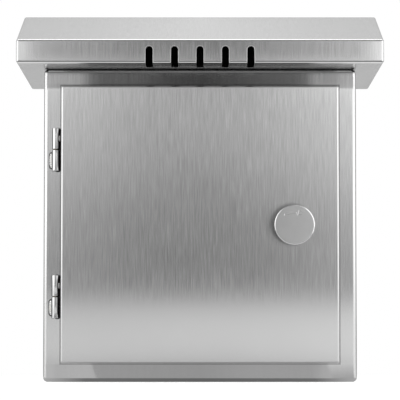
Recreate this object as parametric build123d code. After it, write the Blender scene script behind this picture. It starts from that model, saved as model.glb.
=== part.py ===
from build123d import *

import os
from math import cos, radians, tan

# Outdoor enclosure for a pole. The origin is the centre of the body's bottom face,
# with +X to the right, +Y to the back, +Z up and the door towards -Y. Lengths are millimetres.

# Sheet metal
sheet = 1.5
cut_overrun = 2.0

# Body
body_width = 300.0
body_height = 300.0
body_depth = 180.0
body_bend_radius = 4.0

# Door, as the margins of frame that stay bare round it
frame_margin_side = 17.25
frame_margin_top = 17.0
frame_margin_bottom = 17.5
door_frame_gap = 1.5
door_skirt = 12.0
door_bend_radius = 2.0

# Doorway, inside the door's skirt, with a drip edge turned forward
skirt_to_drip_edge = 6.75
drip_edge_height = 7.0
doorway_corner_radius = 6.0

# Door gasket, pressed on the drip edge
gasket_width = 12.0
gasket_skirt_gap = 1.25
gasket_seat_gap = 0.3
gasket_corner_radius = 8.0

# Rain hood
hood_side_overhang = 23.5
hood_front_overhang = 53.0
hood_lip_height = 22.0
hood_ridge_rise = 37.0
hood_bend_radius = 2.5
hood_slot_count = 5
hood_slot_width = 7.0
hood_slot_pitch = 24.0
hood_slot_rise = 15.9
hood_slot_reach = 41.0
hood_window_border = 10.0
hood_stud_side_inset = 30.0
hood_stud_end_inset = 30.0
hood_stud_length = 18.0

# Air slots in the body's top
top_slot_count = 7
top_slot_width = 6.0
top_slot_length = 60.0
top_slot_pitch = 24.0

# Welded barrel hinges on the left
hinge_barrel_diameter = 8.0
hinge_length = 41.0
hinge_door_gap = 1.35
hinge_frame_gap = 0.3
upper_hinge_inset = 61.0
lower_hinge_inset = 63.5
hinge_pin_diameter = 4.5
hinge_pin_end = 3.0
hinge_running_clearance = 0.05
hinge_washer_thickness = 0.8
hinge_washer_rim = 0.3
frame_bead_radius = 2.3
frame_bead_length = 12.0
frame_bead_side = 3.4
frame_bead_rise = 1.2
door_bead_radius = 2.2
door_bead_length = 6.5
door_bead_inset = 1.1
door_bead_forward = 2.7
bead_end_chamfer = 0.8

# Lock in the door
lock_inset = 42.75
lock_drop = 1.25
lock_barrel_diameter = 22.0
lock_hole_clearance = 0.2
lock_flange_diameter = 36.0
lock_flange_thickness = 4.0
lock_flange_chamfer = 0.6
lock_seal_thickness = 1.0
lock_seal_rim = 1.0
lock_nut_flats = 28.0
lock_nut_height = 5.0
plug_diameter = 14.0
plug_head_diameter = 18.0
plug_head_thickness = 2.5
plug_recess = 0.5
plug_key_side = 8.0
plug_key_depth = 6.0
plug_shank_side = 8.0
plug_running_clearance = 0.05
shank_fit = 0.05
cam_thickness = 3.0
cam_width = 16.0
cam_overlap = 10.0
cam_frame_gap = 1.5
cam_washer_diameter = 14.0
cam_washer_thickness = 1.5
cover_diameter = 38.5
cover_thickness = 3.5
cover_rim_radius = 1.2
cover_gap = 0.3
cover_pivot_drop = 14.5
cover_pin_diameter = 4.0
cover_pin_length = 3.0
cover_pin_clearance = 0.05
cover_pin_end_room = 0.3

# Threaded studs and nuts
thread_clearance = 0.05
stud_hole_clearance = 0.3
small_thread = 5.0
small_nut_flats = 8.0
small_nut_height = 4.0
medium_thread = 6.0
medium_nut_flats = 10.0
medium_nut_height = 5.0
large_thread = 8.0
large_nut_flats = 13.0
large_nut_height = 6.5
large_head_height = 5.3
large_washer_diameter = 16.0
large_washer_thickness = 1.6
large_seal_thickness = 1.5
stud_end = 3.0

# Equipment plate on its studs
plate_doorway_margin = 3.0
plate_thickness = 2.0
plate_standoff = 12.0
plate_corner_radius = 4.0
plate_stud_inset = 15.0
plate_spacer_diameter = 12.0
plate_hole_rows = 4
plate_hole_columns = 4
plate_hole_pitch = 45.0
plate_hole_length = 18.0
plate_hole_width = 6.0

# Earth studs
earth_stud_length = 20.0
earth_stud_height = 40.0
earth_stud_setback = 40.0
door_earth_side_inset = 38.0
door_earth_bottom_inset = 33.0

# Cable entry in the bottom
entry_length = 140.0
entry_depth = 50.0
entry_setback = 55.0
entry_corner_radius = 6.0
entry_border = 18.0
gland_gasket_thickness = 1.5
gland_plate_thickness = 2.0
grommet_count = 3
grommet_pitch = 44.0
grommet_hole_diameter = 24.0
grommet_flange = 3.0
grommet_flange_thickness = 1.6
grommet_membrane = 1.2
grommet_collar_height = 8.0
grommet_collar_diameter = 12.0
grommet_fit = 0.05

# Pole brackets and straps
pole_diameter = 76.0
pole_clearance = 0.05
vee_angle = 120.0
vee_half_width = 34.0
bracket_sheet = 3.0
bracket_width = 40.0
bracket_end_inset = 75.0
bracket_standoff = 25.0
bracket_bolt_spacing = 186.0
bracket_foot_length = 30.0
bracket_bend_radius = 5.0
strap_sheet = 3.0
strap_gap = 2.0
strap_bend_radius = 5.0
strap_bolt_spacing = 112.0
strap_ear_end = 12.0

# Planes and centres that follow from the sizes above
body_front = -body_depth / 2
body_back = body_depth / 2
door_width = body_width - 2 * frame_margin_side
door_height = body_height - frame_margin_top - frame_margin_bottom
door_left = -door_width / 2
door_bottom = frame_margin_bottom
door_top = door_bottom + door_height
door_centre = door_bottom + door_height / 2
door_back_edge = body_front - door_frame_gap
door_front = door_back_edge - door_skirt
door_inner = door_front + sheet
doorway_width = door_width - 2 * (2 * sheet + skirt_to_drip_edge)
doorway_height = door_height - 2 * (2 * sheet + skirt_to_drip_edge)
drip_edge_front = body_front - drip_edge_height
hood_width = body_width + 2 * hood_side_overhang
hood_front = body_front - hood_front_overhang
hood_lip_top = body_height + hood_lip_height
hood_ridge = hood_lip_top + hood_ridge_rise
hinge_radius = hinge_barrel_diameter / 2
hinge_x = door_left - hinge_door_gap - hinge_radius
hinge_y = body_front - hinge_frame_gap - hinge_radius
hinge_heights = {"upper": door_top - upper_hinge_inset, "lower": door_bottom + lower_hinge_inset}
lock_x = door_width / 2 - lock_inset
lock_z = door_centre - lock_drop
flange_back = door_front - lock_seal_thickness
flange_front = flange_back - lock_flange_thickness
plug_front = flange_front + plug_recess
cam_front = body_front + sheet + cam_frame_gap
cam_back = cam_front + cam_thickness
cam_reach = doorway_width / 2 + sheet + cam_overlap - lock_x
plate_back = body_back - sheet - plate_standoff
plate_front = plate_back - plate_thickness
plate_width = doorway_width - 2 * plate_doorway_margin
plate_height = doorway_height - 2 * plate_doorway_margin
entry_y = body_back - entry_setback
gland_plate_bottom = sheet + gland_gasket_thickness
gland_plate_top = gland_plate_bottom + gland_plate_thickness
pole_radius = pole_diameter / 2 + pole_clearance
web_rear = body_back + bracket_standoff
vee_slope = radians((180 - vee_angle) / 2)
vee_apex = web_rear - vee_half_width * tan(vee_slope)
pole_y = vee_apex + pole_radius / cos(vee_slope)
strap_seat = web_rear + strap_gap
bracket_heights = {"upper": body_height - bracket_end_inset, "lower": bracket_end_inset}


def mirrored(half_x: float, half_y: float) -> list[tuple[float, float]]:
    """Four places, one in each quarter."""
    return [(x, y) for x in (-half_x, half_x) for y in (-half_y, half_y)]


def row(count: int, pitch: float) -> list[float]:
    """Evenly spaced places about zero."""
    return [(index - (count - 1) / 2) * pitch for index in range(count)]


def towards_back(x: float, y: float, z: float) -> Location:
    """Place whose own +Z points to the back of the enclosure."""
    return Plane(origin=(x, y, z), x_dir=(1, 0, 0), z_dir=(0, 1, 0)).location


def towards_right(x: float, y: float, z: float) -> Location:
    """Place whose own +Z points to the right."""
    return Plane(origin=(x, y, z), x_dir=(0, 1, 0), z_dir=(1, 0, 0)).location


def rod(diameter: float, length: float) -> Part:
    """Round bar from z = 0 upwards."""
    return Cylinder(diameter / 2, length, align=(Align.CENTER, Align.CENTER, Align.MIN))


def tube(outer: float, inner: float, length: float) -> Part:
    """Round tube from z = 0 upwards."""
    return extrude(Circle(outer / 2) - Circle(inner / 2), length)


def nut(flats: float, thread: float, height: float) -> Part:
    """Hexagon nut from z = 0 upwards, bored to clear its stud."""
    outline = RegularPolygon(flats / 2, 6, major_radius=False)
    return extrude(outline - Circle(thread / 2 + thread_clearance), height)


def group(pieces: list[Part]) -> Compound:
    """Separate solids kept together as one set of like pieces."""
    return Compound([solid for piece in pieces for solid in piece.solids()])


def rounded_block(width: float, depth: float, height: float, base: float, radius: float) -> Part:
    """Upright block with all of its edges rounded."""
    block = Box(width, depth, height, align=(Align.CENTER, Align.CENTER, Align.MIN))
    return Pos(0, 0, base) * fillet(block.edges(), radius)


def slot_along_y(width: float, length: float, height: float) -> Part:
    """Cutter for a slot with round ends that runs front to back."""
    return extrude(SlotOverall(length, width, rotation=90), height)


# Body

hood_stud_places = mirrored(body_width / 2 - hood_stud_side_inset, body_depth / 2 - hood_stud_end_inset)
bracket_bolt_places = [(x, z) for x in (-bracket_bolt_spacing / 2, bracket_bolt_spacing / 2)
                       for z in bracket_heights.values()]
gland_stud_places = mirrored((entry_length + entry_border) / 2, (entry_depth + entry_border) / 2)


def doorway_prism(grow: float, front: float, back: float) -> Part:
    """Prism of the doorway's outline, grown by a wall, from front to back."""
    outline = RectangleRounded(doorway_width + 2 * grow, doorway_height + 2 * grow,
                               doorway_corner_radius + grow)
    return towards_back(0, front, door_centre) * extrude(outline, back - front)


def make_body_shell() -> Part:
    """Folded and welded box with the doorway's drip edge, vents and holes."""
    shell = rounded_block(body_width, body_depth, body_height, 0, body_bend_radius)
    shell -= rounded_block(body_width - 2 * sheet, body_depth - 2 * sheet, body_height - 2 * sheet,
                           sheet, body_bend_radius - sheet)
    shell += doorway_prism(sheet, drip_edge_front, body_front + sheet)
    shell -= doorway_prism(0, drip_edge_front - cut_overrun, body_front + sheet + cut_overrun)
    through = sheet + 2 * cut_overrun
    top_cut = body_height - sheet - cut_overrun
    for x in row(top_slot_count, top_slot_pitch):
        shell -= Pos(x, 0, top_cut) * slot_along_y(top_slot_width, top_slot_length, through)
    for x, y in hood_stud_places:
        shell -= Pos(x, y, top_cut) * rod(medium_thread + 2 * stud_hole_clearance, through)
    for x, z in bracket_bolt_places:
        hole = rod(large_thread + 2 * stud_hole_clearance, through)
        shell -= towards_back(x, body_back - sheet - cut_overrun, z) * hole
    entry = RectangleRounded(entry_length, entry_depth, entry_corner_radius)
    shell -= Pos(0, entry_y, -cut_overrun) * extrude(entry, through)
    return shell


# Rain hood

def gable_prism(inset: float, radius: float) -> Part:
    """Hood's folded outline, drawn in by the inset on every side, with rounded bends."""
    ridge_y = (hood_front + body_back) / 2
    outline = Polyline(
        (hood_front, body_height),
        (hood_front, hood_lip_top),
        (ridge_y, hood_ridge),
        (body_back, hood_lip_top),
        (body_back, body_height),
        close=True,
    )
    face = Plane.YZ * make_face(outline)
    prism = extrude(offset(face, -inset) if inset else face, hood_width / 2 - inset, both=True)
    return fillet(prism.edges(), radius)


def make_rain_hood() -> Part:
    """Hollow hood whose vent slots run from the lip round its lower bend to the underside."""
    hood = gable_prism(0, hood_bend_radius) - gable_prism(sheet, hood_bend_radius - sheet)
    slot_top = body_height + hood_slot_rise
    slot_length = 2 * (hood_slot_rise + cut_overrun)
    slot_depth = hood_bend_radius + cut_overrun
    lip_slot = extrude(SlotOverall(slot_length, hood_slot_width, rotation=90), slot_depth)
    floor_slot = slot_along_y(hood_slot_width, 2 * (hood_slot_reach + cut_overrun), slot_depth)
    for x in row(hood_slot_count, hood_slot_pitch):
        hood -= towards_back(x, hood_front - cut_overrun, slot_top - slot_length / 2) * lip_slot
        floor_slot_y = hood_front + hood_slot_reach - (hood_slot_reach + cut_overrun)
        hood -= Pos(x, floor_slot_y, body_height - cut_overrun) * floor_slot
    window_width = (top_slot_count - 1) * top_slot_pitch + top_slot_width + 2 * hood_window_border
    window_depth = top_slot_length + 2 * hood_window_border
    window = Box(window_width, window_depth, 2 * (sheet + cut_overrun))
    return hood - Pos(0, 0, body_height) * window


def make_hood_studs() -> Compound:
    """Studs welded under the hood's floor, down through the body's top."""
    stud = rod(medium_thread, hood_stud_length)
    return group([Pos(x, y, body_height - hood_stud_length) * stud for x, y in hood_stud_places])


def make_hood_nuts() -> Compound:
    """Nuts that draw the hood down, inside the body."""
    piece = nut(medium_nut_flats, medium_thread, medium_nut_height)
    base = body_height - sheet - medium_nut_height
    return group([Pos(x, y, base) * piece for x, y in hood_stud_places])


# Door

def tray_block(inset: float, radius: float) -> Part:
    """Door's block, drawn in by the inset, rounded at the front and at its corners, flat behind."""
    depth = door_skirt - inset
    block = Box(door_width - 2 * inset, 2 * depth, door_height - 2 * inset)
    block = Pos(0, door_back_edge, door_centre) * fillet(block.edges(), radius)
    rear = Box(door_width, door_skirt, door_height, align=(Align.CENTER, Align.MIN, Align.CENTER))
    return block - Pos(0, door_back_edge, door_centre) * rear


def make_door_panel() -> Part:
    """Folded tray with a hole for the lock."""
    panel = tray_block(0, door_bend_radius) - tray_block(sheet, door_bend_radius - sheet)
    hole = rod(lock_barrel_diameter + 2 * lock_hole_clearance, sheet + 2 * cut_overrun)
    return panel - towards_back(lock_x, door_front - cut_overrun, lock_z) * hole


def make_door_gasket() -> Part:
    """Foam frame on the door's inner face that meets the drip edge."""
    width = door_width - 2 * (sheet + gasket_skirt_gap)
    height = door_height - 2 * (sheet + gasket_skirt_gap)
    ring = RectangleRounded(width, height, gasket_corner_radius)
    inner_radius = gasket_corner_radius / 2
    ring -= RectangleRounded(width - 2 * gasket_width, height - 2 * gasket_width, inner_radius)
    thickness = drip_edge_front - gasket_seat_gap - door_inner
    return towards_back(0, door_inner, door_centre) * extrude(ring, thickness)


# Hinges

knuckle_length = (hinge_length - hinge_washer_thickness) / 2


def make_bead(radius: float, length: float) -> Part:
    """Short weld bead along Z, centred on its height, with bevelled ends."""
    bead = Cylinder(radius, length)
    ends = bead.edges().filter_by(GeomType.CIRCLE)
    return chamfer(ends, bead_end_chamfer)


def make_frame_knuckle(height: float) -> Part:
    """Lower half of a hinge, welded to the frame by a bead on its outer side."""
    base = height - hinge_length / 2
    knuckle = Pos(hinge_x, hinge_y, base) * rod(hinge_barrel_diameter, knuckle_length)
    bead_place = Pos(hinge_x - frame_bead_side, body_front - frame_bead_rise, base + knuckle_length / 2)
    knuckle += bead_place * make_bead(frame_bead_radius, frame_bead_length)
    beyond = Box(hinge_length, hinge_length, hinge_length, align=(Align.CENTER, Align.MIN, Align.MIN))
    knuckle -= Pos(hinge_x, body_front, base) * beyond
    bore = rod(hinge_pin_diameter + 2 * thread_clearance, knuckle_length + 2 * cut_overrun)
    return knuckle - Pos(hinge_x, hinge_y, base - cut_overrun) * bore


def make_door_knuckle(height: float) -> Part:
    """Upper half of a hinge, welded to the door's skirt, with a blind bore for the pin."""
    base = height + hinge_washer_thickness / 2
    knuckle = Pos(hinge_x, hinge_y, base) * rod(hinge_barrel_diameter, knuckle_length)
    bead_place = Pos(door_left - door_bead_inset, hinge_y - door_bead_forward, base + knuckle_length / 2)
    knuckle += bead_place * make_bead(door_bead_radius, door_bead_length)
    beyond = Box(hinge_length, hinge_length, hinge_length, align=(Align.MIN, Align.CENTER, Align.MIN))
    knuckle -= Pos(door_left, hinge_y, base) * beyond
    depth = knuckle_length - hinge_pin_end
    bore = rod(hinge_pin_diameter + 2 * hinge_running_clearance, depth + cut_overrun)
    return knuckle - Pos(hinge_x, hinge_y, base - cut_overrun) * bore


def make_hinge_pin(height: float) -> Part:
    """Pin fixed in the frame's knuckle, on which the door's knuckle turns."""
    base = height - hinge_length / 2
    length = hinge_length - 2 * hinge_pin_end
    return Pos(hinge_x, hinge_y, base) * rod(hinge_pin_diameter, length)


def make_hinge_washer(height: float) -> Part:
    """Washer that the door's knuckle turns on."""
    bore = hinge_pin_diameter + 2 * hinge_running_clearance
    ring = tube(hinge_barrel_diameter - 2 * hinge_washer_rim, bore, hinge_washer_thickness)
    return Pos(hinge_x, hinge_y, height - hinge_washer_thickness / 2) * ring


# Lock

def on_lock(y: float) -> Location:
    """Place on the lock's axis, pointing to the back."""
    return towards_back(lock_x, y, lock_z)


def make_lock_seal() -> Part:
    """Rubber washer under the lock's flange."""
    bore = lock_barrel_diameter + 2 * lock_hole_clearance
    return on_lock(flange_back) * tube(lock_flange_diameter - 2 * lock_seal_rim, bore, lock_seal_thickness)


def make_lock_housing() -> Part:
    """Flanged barrel with the plug's stepped bore and the cover's pivot hole."""
    flange = rod(lock_flange_diameter, lock_flange_thickness)
    front_rim = flange.edges().filter_by(GeomType.CIRCLE).sort_by(Axis.Z)[0]
    housing = on_lock(flange_front) * chamfer(front_rim, lock_flange_chamfer)
    barrel_end = body_front + sheet
    housing += on_lock(flange_back) * rod(lock_barrel_diameter, barrel_end - flange_back)
    bore = rod(plug_diameter + 2 * plug_running_clearance, barrel_end - flange_front + 2 * cut_overrun)
    housing -= on_lock(flange_front - cut_overrun) * bore
    step = rod(plug_head_diameter + 2 * plug_running_clearance,
               plug_recess + plug_head_thickness + cut_overrun)
    housing -= on_lock(flange_front - cut_overrun) * step
    pivot_depth = cover_pin_length - cover_gap + cover_pin_end_room
    pivot_hole = rod(cover_pin_diameter + 2 * cover_pin_clearance, pivot_depth + cut_overrun)
    return housing - towards_back(lock_x, flange_front - cut_overrun, lock_z - cover_pivot_drop) * pivot_hole


def make_lock_nut() -> Part:
    """Large hexagon nut that holds the lock from inside the door."""
    return on_lock(door_inner) * nut(lock_nut_flats, lock_barrel_diameter, lock_nut_height)


def make_lock_plug() -> Part:
    """Turning core with a triangular key recess, a square shank and a threaded end."""
    plug = on_lock(plug_front) * rod(plug_head_diameter, plug_head_thickness)
    plug += on_lock(plug_front) * rod(plug_diameter, cam_front - plug_front)
    shank = Box(plug_shank_side, plug_shank_side, cam_thickness,
                align=(Align.CENTER, Align.CENTER, Align.MIN))
    plug += on_lock(cam_front) * shank
    end_length = cam_washer_thickness + medium_nut_height + stud_end
    plug += on_lock(cam_back) * rod(medium_thread, end_length)
    key = extrude(RegularPolygon(plug_key_side / 2, 3), plug_key_depth + cut_overrun)
    return plug - on_lock(plug_front - cut_overrun) * key


def make_lock_cam() -> Part:
    """Flat tongue on the shank that turns behind the doorway's edge. Unlocked, it points up."""
    tip_to_tail = cam_reach + cam_width / 2
    outline = Pos(0, (cam_width - tip_to_tail) / 2) * SlotOverall(tip_to_tail, cam_width, rotation=90)
    outline -= Rectangle(plug_shank_side + 2 * shank_fit, plug_shank_side + 2 * shank_fit)
    return on_lock(cam_front) * extrude(outline, cam_thickness)


def make_cam_washer() -> Part:
    """Washer behind the cam."""
    bore = medium_thread + 2 * thread_clearance
    return on_lock(cam_back) * tube(cam_washer_diameter, bore, cam_washer_thickness)


def make_cam_nut() -> Part:
    """Nut that holds the cam on the plug."""
    piece = nut(medium_nut_flats, medium_thread, medium_nut_height)
    return on_lock(cam_back + cam_washer_thickness) * piece


def make_lock_cover() -> Part:
    """Round rain cover with a rolled rim, on a pivot pin near its lower edge."""
    back = flange_front - cover_gap
    disc = rod(cover_diameter, cover_thickness)
    front_rim = disc.edges().filter_by(GeomType.CIRCLE).sort_by(Axis.Z)[0]
    cover = on_lock(back - cover_thickness) * fillet(front_rim, cover_rim_radius)
    pin = rod(cover_pin_diameter, cover_pin_length)
    return cover + towards_back(lock_x, back, lock_z - cover_pivot_drop) * pin


# Equipment plate and earth studs

plate_stud_places = [(x, door_centre + z) for x, z in
                     mirrored(plate_width / 2 - plate_stud_inset, plate_height / 2 - plate_stud_inset)]


def make_mounting_plate() -> Part:
    """Flat plate with rows of slots for the equipment's screws."""
    outline = RectangleRounded(plate_width, plate_height, plate_corner_radius)
    for x, z in plate_stud_places:
        outline -= Pos(x, z - door_centre) * Circle(medium_thread / 2 + stud_hole_clearance)
    for x in row(plate_hole_columns, plate_hole_pitch):
        for z in row(plate_hole_rows, plate_hole_pitch):
            outline -= Pos(x, z) * SlotOverall(plate_hole_length, plate_hole_width)
    return towards_back(0, plate_front, door_centre) * extrude(outline, plate_thickness)


def make_plate_studs() -> Compound:
    """Studs welded to the back wall."""
    front = plate_front - medium_nut_height - stud_end
    stud = rod(medium_thread, body_back - sheet - front)
    return group([towards_back(x, front, z) * stud for x, z in plate_stud_places])


def make_plate_spacers() -> Compound:
    """Tubes that hold the plate off the back wall."""
    spacer = tube(plate_spacer_diameter, medium_thread + 2 * thread_clearance, plate_standoff)
    return group([towards_back(x, plate_back, z) * spacer for x, z in plate_stud_places])


def make_plate_nuts() -> Compound:
    """Nuts on the front of the plate."""
    piece = nut(medium_nut_flats, medium_thread, medium_nut_height)
    return group([towards_back(x, plate_front - medium_nut_height, z) * piece for x, z in plate_stud_places])


earth_stud_base = -body_width / 2 + sheet
earth_stud_y = body_back - sheet - earth_stud_setback
door_earth_x = door_left + door_earth_side_inset
door_earth_z = door_bottom + door_earth_bottom_inset


def make_earth_stud() -> Part:
    """Earth stud welded to the left wall."""
    return towards_right(earth_stud_base, earth_stud_y, earth_stud_height) * rod(medium_thread, earth_stud_length)


def make_earth_nut() -> Part:
    """Nut on the wall's earth stud."""
    piece = nut(medium_nut_flats, medium_thread, medium_nut_height)
    return towards_right(earth_stud_base, earth_stud_y, earth_stud_height) * piece


def make_door_earth_stud() -> Part:
    """Earth stud welded to the door."""
    return towards_back(door_earth_x, door_inner, door_earth_z) * rod(medium_thread, earth_stud_length)


def make_door_earth_nut() -> Part:
    """Nut on the door's earth stud."""
    piece = nut(medium_nut_flats, medium_thread, medium_nut_height)
    return towards_back(door_earth_x, door_inner, door_earth_z) * piece


# Cable entry

def entry_frame(grow: float) -> Sketch:
    """Outline of the cable entry, grown on every side, with the studs' holes in it."""
    frame = RectangleRounded(entry_length + 2 * grow, entry_depth + 2 * grow, entry_corner_radius)
    for x, y in gland_stud_places:
        frame -= Pos(x, y) * Circle(small_thread / 2 + stud_hole_clearance)
    return frame


def make_gland_gasket() -> Part:
    """Rubber frame under the gland plate."""
    ring = entry_frame(entry_border) - RectangleRounded(entry_length, entry_depth, entry_corner_radius)
    return Pos(0, entry_y, sheet) * extrude(ring, gland_gasket_thickness)


def make_gland_plate() -> Part:
    """Removable plate with the grommets' holes."""
    outline = entry_frame(entry_border)
    for x in row(grommet_count, grommet_pitch):
        outline -= Pos(x, 0) * Circle(grommet_hole_diameter / 2)
    return Pos(0, entry_y, gland_plate_bottom) * extrude(outline, gland_plate_thickness)


def make_gland_studs() -> Compound:
    """Studs welded to the bottom."""
    length = gland_plate_top + small_nut_height + stud_end - sheet
    stud = rod(small_thread, length)
    return group([Pos(x, entry_y + y, sheet) * stud for x, y in gland_stud_places])


def make_gland_nuts() -> Compound:
    """Nuts that press the gland plate on its gasket."""
    piece = nut(small_nut_flats, small_thread, small_nut_height)
    return group([Pos(x, entry_y + y, gland_plate_top) * piece for x, y in gland_stud_places])


def make_cable_grommets() -> Compound:
    """Rubber grommets with a closed membrane, to be cut open for a cable."""
    neck = grommet_hole_diameter / 2 - grommet_fit
    rim = grommet_hole_diameter / 2 + grommet_flange
    collar = grommet_collar_diameter / 2
    low = gland_plate_bottom - grommet_flange_thickness
    flange_top = gland_plate_top + grommet_flange_thickness
    collar_top = flange_top + grommet_collar_height
    wall = grommet_flange_thickness
    section = Polyline(
        (0, collar_top - grommet_membrane),
        (collar - wall, collar_top - grommet_membrane),
        (neck - wall, low),
        (rim, low),
        (rim, gland_plate_bottom),
        (neck, gland_plate_bottom),
        (neck, gland_plate_top),
        (rim, gland_plate_top),
        (rim, flange_top),
        (neck, flange_top),
        (collar, collar_top),
        (0, collar_top),
        close=True,
    )
    grommet = revolve(Plane.XZ * make_face(section), Axis.Z)
    return group([Pos(x, entry_y, 0) * grommet for x in row(grommet_count, grommet_pitch)])


# Pole brackets and straps

strap_bolt_x = strap_bolt_spacing / 2
bracket_bolt_x = bracket_bolt_spacing / 2


def upright_strip(outline: Wire, height: float) -> Part:
    """Bent strip of the bracket's width, centred on a height."""
    return Pos(0, 0, height - bracket_width / 2) * extrude(make_face(outline), bracket_width)


def make_pole_bracket(height: float) -> Part:
    """Bent strip with two feet and a vee that seats the pole."""
    foot_rear = body_back + bracket_sheet
    foot_end = bracket_bolt_x + bracket_foot_length / 2
    riser = bracket_bolt_x - bracket_foot_length / 2
    right_half = [(vee_half_width, web_rear), (riser, web_rear), (riser, foot_rear), (foot_end, foot_rear)]
    left_half = [(-x, y) for x, y in reversed(right_half)]
    rear_face = FilletPolyline(*left_half, (0, vee_apex), *right_half, radius=bracket_bend_radius)
    bracket = upright_strip(offset(rear_face, bracket_sheet, side=Side.RIGHT), height)
    hole = rod(large_thread + 2 * stud_hole_clearance, bracket_sheet + 2 * cut_overrun)
    for side in (-1, 1):
        bracket -= towards_back(side * bracket_bolt_x, body_back - cut_overrun, height) * hole
        bracket -= towards_back(side * strap_bolt_x, web_rear - bracket_sheet - cut_overrun, height) * hole
    return bracket


def make_pole_strap(height: float) -> Part:
    """Half hoop round the back of the pole, with a bent ear on each side."""
    ear_end = strap_bolt_x + strap_ear_end
    bend_x = pole_radius + strap_bend_radius
    bend_y = strap_seat + strap_bend_radius
    inner_face = Curve() + [
        Line((-ear_end, strap_seat), (-bend_x, strap_seat)),
        RadiusArc((-bend_x, strap_seat), (-pole_radius, bend_y), -strap_bend_radius),
        Line((-pole_radius, bend_y), (-pole_radius, pole_y)),
        ThreePointArc((-pole_radius, pole_y), (0, pole_y + pole_radius), (pole_radius, pole_y)),
        Line((pole_radius, pole_y), (pole_radius, bend_y)),
        RadiusArc((pole_radius, bend_y), (bend_x, strap_seat), -strap_bend_radius),
        Line((bend_x, strap_seat), (ear_end, strap_seat)),
    ]
    strap = upright_strip(offset(inner_face.wire(), strap_sheet, side=Side.LEFT), height)
    hole = rod(large_thread + 2 * stud_hole_clearance, strap_sheet + 2 * cut_overrun)
    for side in (-1, 1):
        strap -= towards_back(side * strap_bolt_x, strap_seat - cut_overrun, height) * hole
    return strap


def large_bolt(length: float) -> Part:
    """Hexagon bolt along +Z whose head ends at z = 0."""
    head = extrude(RegularPolygon(large_nut_flats / 2, 6, major_radius=False), large_head_height)
    return Pos(0, 0, -large_head_height) * head + rod(large_thread, length)


strap_bolt_places = [(x, z) for x in (-strap_bolt_x, strap_bolt_x) for z in bracket_heights.values()]
bolt_seal_front = body_back - sheet - large_seal_thickness
bracket_washer_front = body_back + bracket_sheet
bracket_nut_front = bracket_washer_front + large_washer_thickness
strap_nut_front = strap_seat + strap_sheet


def make_bracket_bolts() -> Compound:
    """Bolts from inside the body through its back and the brackets' feet."""
    bolt = large_bolt(bracket_nut_front + large_nut_height + stud_end - bolt_seal_front)
    return group([towards_back(x, bolt_seal_front, z) * bolt for x, z in bracket_bolt_places])


def make_bracket_seals() -> Compound:
    """Rubber washers under the bolts' heads."""
    ring = tube(large_washer_diameter, large_thread + 2 * thread_clearance, large_seal_thickness)
    return group([towards_back(x, bolt_seal_front, z) * ring for x, z in bracket_bolt_places])


def make_bracket_washers() -> Compound:
    """Flat washers on the brackets' feet."""
    ring = tube(large_washer_diameter, large_thread + 2 * thread_clearance, large_washer_thickness)
    return group([towards_back(x, bracket_washer_front, z) * ring for x, z in bracket_bolt_places])


def make_bracket_nuts() -> Compound:
    """Nuts that hold the brackets."""
    piece = nut(large_nut_flats, large_thread, large_nut_height)
    return group([towards_back(x, bracket_nut_front, z) * piece for x, z in bracket_bolt_places])


def make_strap_bolts() -> Compound:
    """Bolts that draw the straps towards the brackets."""
    front = web_rear - bracket_sheet
    bolt = large_bolt(strap_nut_front + large_nut_height + stud_end - front)
    return group([towards_back(x, front, z) * bolt for x, z in strap_bolt_places])


def make_strap_nuts() -> Compound:
    """Nuts on the straps' ears."""
    piece = nut(large_nut_flats, large_thread, large_nut_height)
    return group([towards_back(x, strap_nut_front, z) * piece for x, z in strap_bolt_places])


# Assembly

def make_nodes() -> dict[str, Part | Compound]:
    """Every piece of the enclosure under its own name."""
    nodes = {
        "body_shell": make_body_shell(),
        "rain_hood": make_rain_hood(),
        "hood_studs": make_hood_studs(),
        "hood_nuts": make_hood_nuts(),
        "door_panel": make_door_panel(),
        "door_gasket": make_door_gasket(),
        "lock_seal": make_lock_seal(),
        "lock_housing": make_lock_housing(),
        "lock_nut": make_lock_nut(),
        "lock_plug": make_lock_plug(),
        "lock_cam": make_lock_cam(),
        "cam_washer": make_cam_washer(),
        "cam_nut": make_cam_nut(),
        "lock_cover": make_lock_cover(),
        "mounting_plate": make_mounting_plate(),
        "plate_studs": make_plate_studs(),
        "plate_spacers": make_plate_spacers(),
        "plate_nuts": make_plate_nuts(),
        "earth_stud": make_earth_stud(),
        "earth_nut": make_earth_nut(),
        "door_earth_stud": make_door_earth_stud(),
        "door_earth_nut": make_door_earth_nut(),
        "gland_gasket": make_gland_gasket(),
        "gland_plate": make_gland_plate(),
        "gland_studs": make_gland_studs(),
        "gland_nuts": make_gland_nuts(),
        "cable_grommets": make_cable_grommets(),
        "bracket_bolts": make_bracket_bolts(),
        "bracket_seals": make_bracket_seals(),
        "bracket_washers": make_bracket_washers(),
        "bracket_nuts": make_bracket_nuts(),
        "strap_bolts": make_strap_bolts(),
        "strap_nuts": make_strap_nuts(),
    }
    for level, height in hinge_heights.items():
        nodes[f"{level}_frame_knuckle"] = make_frame_knuckle(height)
        nodes[f"{level}_door_knuckle"] = make_door_knuckle(height)
        nodes[f"{level}_hinge_pin"] = make_hinge_pin(height)
        nodes[f"{level}_hinge_washer"] = make_hinge_washer(height)
    for level, height in bracket_heights.items():
        nodes[f"{level}_pole_bracket"] = make_pole_bracket(height)
        nodes[f"{level}_pole_strap"] = make_pole_strap(height)
    return nodes


os.makedirs("parts", exist_ok=True)
for name, shape in make_nodes().items():
    export_step(shape, f"parts/{name}.step")
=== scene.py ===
"""Looks and studio of a pole-mounted stainless steel enclosure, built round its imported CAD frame.

Sizes are millimetres in the enclosure's own frame: +X right, +Y back, +Z up, door towards -Y.
"""
import logging
import math
from dataclasses import dataclass
from enum import Enum
from typing import Any, Sequence, Union

import bmesh
import bpy
import numpy as np
from mathutils import Matrix


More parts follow.
